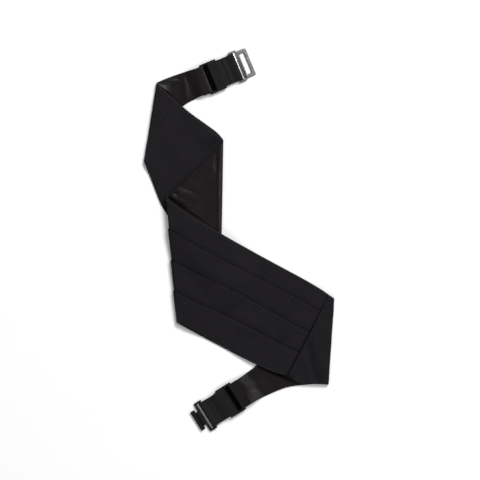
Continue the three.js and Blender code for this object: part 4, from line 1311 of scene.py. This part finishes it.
class CUMMERBUND_OT_slides(bpy.types.Operator):
    """Make the two slides"""

    bl_idname = "cummerbund.slides"
    bl_label = "Slides"

    def execute(self, context):
        size, band, colours = chosen()
        material = black_enamel(colours.enamel)
        for side, end in both_ends(size, band).items():
            piece = slide(side + "_slide", end, size.strap_width)
            piece.data.set_sharp_from_angle(angle=math.radians(45))
            settle(piece, material, "band", "slide_" + side)
        return {"FINISHED"}


class CUMMERBUND_OT_straps(bpy.types.Operator):
    """Make the two elastic straps with their sewn ends"""

    bl_idname = "cummerbund.straps"
    bl_label = "Elastic straps"

    def execute(self, context):
        size, band, colours = chosen()
        web, thread = elastic_web(colours.elastic), sewing_thread(colours.thread)
        for side, end in both_ends(size, band).items():
            piece = strap(side + "_strap", end, size.strap_width, size.strap_return)
            settle(piece, web, "band", "strap_" + side)
            sewing = stitches(side + "_strap_sewing", end, size.strap_width, size.strap_return)
            settle(sewing, thread, "band", None)
        return {"FINISHED"}


class CUMMERBUND_OT_eye(bpy.types.Operator):
    """Make the eye half of the clasp"""

    bl_idname = "cummerbund.eye"
    bl_label = "Eye"

    def execute(self, context):
        size, band, colours = chosen()
        inner = size.strap_width / 2 + SIDE_CLEARANCE
        near, half = EYE_SLOT + EYE_CROSSBAR, EYE_HALF - EYE_ARM
        far = near + EYE_OPENING
        outline = rounded(cheeked(EYE_SLOT, EYE_CHEEK, EYE_HALF, EYE_REACH, inner), EYE_CORNER)
        hole = rounded(((near, -half), (near, half), (far, half), (far, -half)), EYE_HOLE_CORNER)
        parts = [plate((outline, hole[::-1]), size.eye_thickness, EYE_BEVEL), clasp_bar(inner)]
        for x, radius, _ in EYE_RIDGES:
            z = size.eye_thickness / 2 - radius * 0.35
            half = inner - EYE_RIDGE_GAP
            parts.append(rod(x, z, -half, half, radius, 16, radius))
        painted_light = [0, 0] + [row[2] for row in EYE_RIDGES]
        finish_clasp("eye", both_ends(size, band)["upper"], parts, painted_light, "clasp_eye",
                     bright_nickel(colours.nickel))
        return {"FINISHED"}


class CUMMERBUND_OT_hook(bpy.types.Operator):
    """Make the hook half of the clasp"""

    bl_idname = "cummerbund.hook"
    bl_label = "Hook"

    def execute(self, context):
        size, band, colours = chosen()
        inner, thick = size.strap_width / 2 + SIDE_CLEARANCE, size.hook_thickness
        reach = HOOK_FRAME + HOOK_NECK + HOOK_OVERLAP
        corners = cheeked(HOOK_SLOT, HOOK_CHEEK, HOOK_NECK_HALF, reach, inner)
        neck = plate((rounded(corners, HOOK_CORNER),), thick, HOOK_BEVEL)
        parts = [neck, clasp_bar(inner), hook_head(thick)]
        finish_clasp("hook", both_ends(size, band)["lower"], parts, (0, 0, 0), "clasp_hook",
                     black_enamel(colours.enamel))
        return {"FINISHED"}


OPERATORS = (
    CUMMERBUND_OT_stage, CUMMERBUND_OT_lining, CUMMERBUND_OT_pleated_front, CUMMERBUND_OT_wings,
    CUMMERBUND_OT_slides, CUMMERBUND_OT_straps, CUMMERBUND_OT_eye, CUMMERBUND_OT_hook,
)


class CUMMERBUND_PT_sidebar(bpy.types.Panel):
    """Lists the pieces and their sizes in the sidebar"""

    bl_idname = "CUMMERBUND_PT_sidebar"
    bl_label = "Cummerbund"
    bl_space_type = "VIEW_3D"
    bl_region_type = "UI"
    bl_category = "Cummerbund"

    def draw(self, context):
        for group in (context.scene.cummerbund_sizes, context.scene.cummerbund_colours):
            column = self.layout.column()
            for name in group.__annotations__:
                column.prop(group, name)
        for operator in OPERATORS:
            self.layout.operator(operator.bl_idname)


CLASSES = (CummerbundSizes, CummerbundColours) + OPERATORS + (CUMMERBUND_PT_sidebar,)


def register():
    for kind in CLASSES:
        bpy.utils.register_class(kind)
    bpy.types.Scene.cummerbund_sizes = bpy.props.PointerProperty(type=CummerbundSizes)
    bpy.types.Scene.cummerbund_colours = bpy.props.PointerProperty(type=CummerbundColours)


def unregister():
    del bpy.types.Scene.cummerbund_colours
    del bpy.types.Scene.cummerbund_sizes
    for kind in reversed(CLASSES):
        bpy.utils.unregister_class(kind)


def main():
    register()
    for operator in OPERATORS:
        group, name = operator.bl_idname.split(".")
        getattr(getattr(bpy.ops, group), name)()
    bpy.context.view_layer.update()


if __name__ == "__main__":
    main()
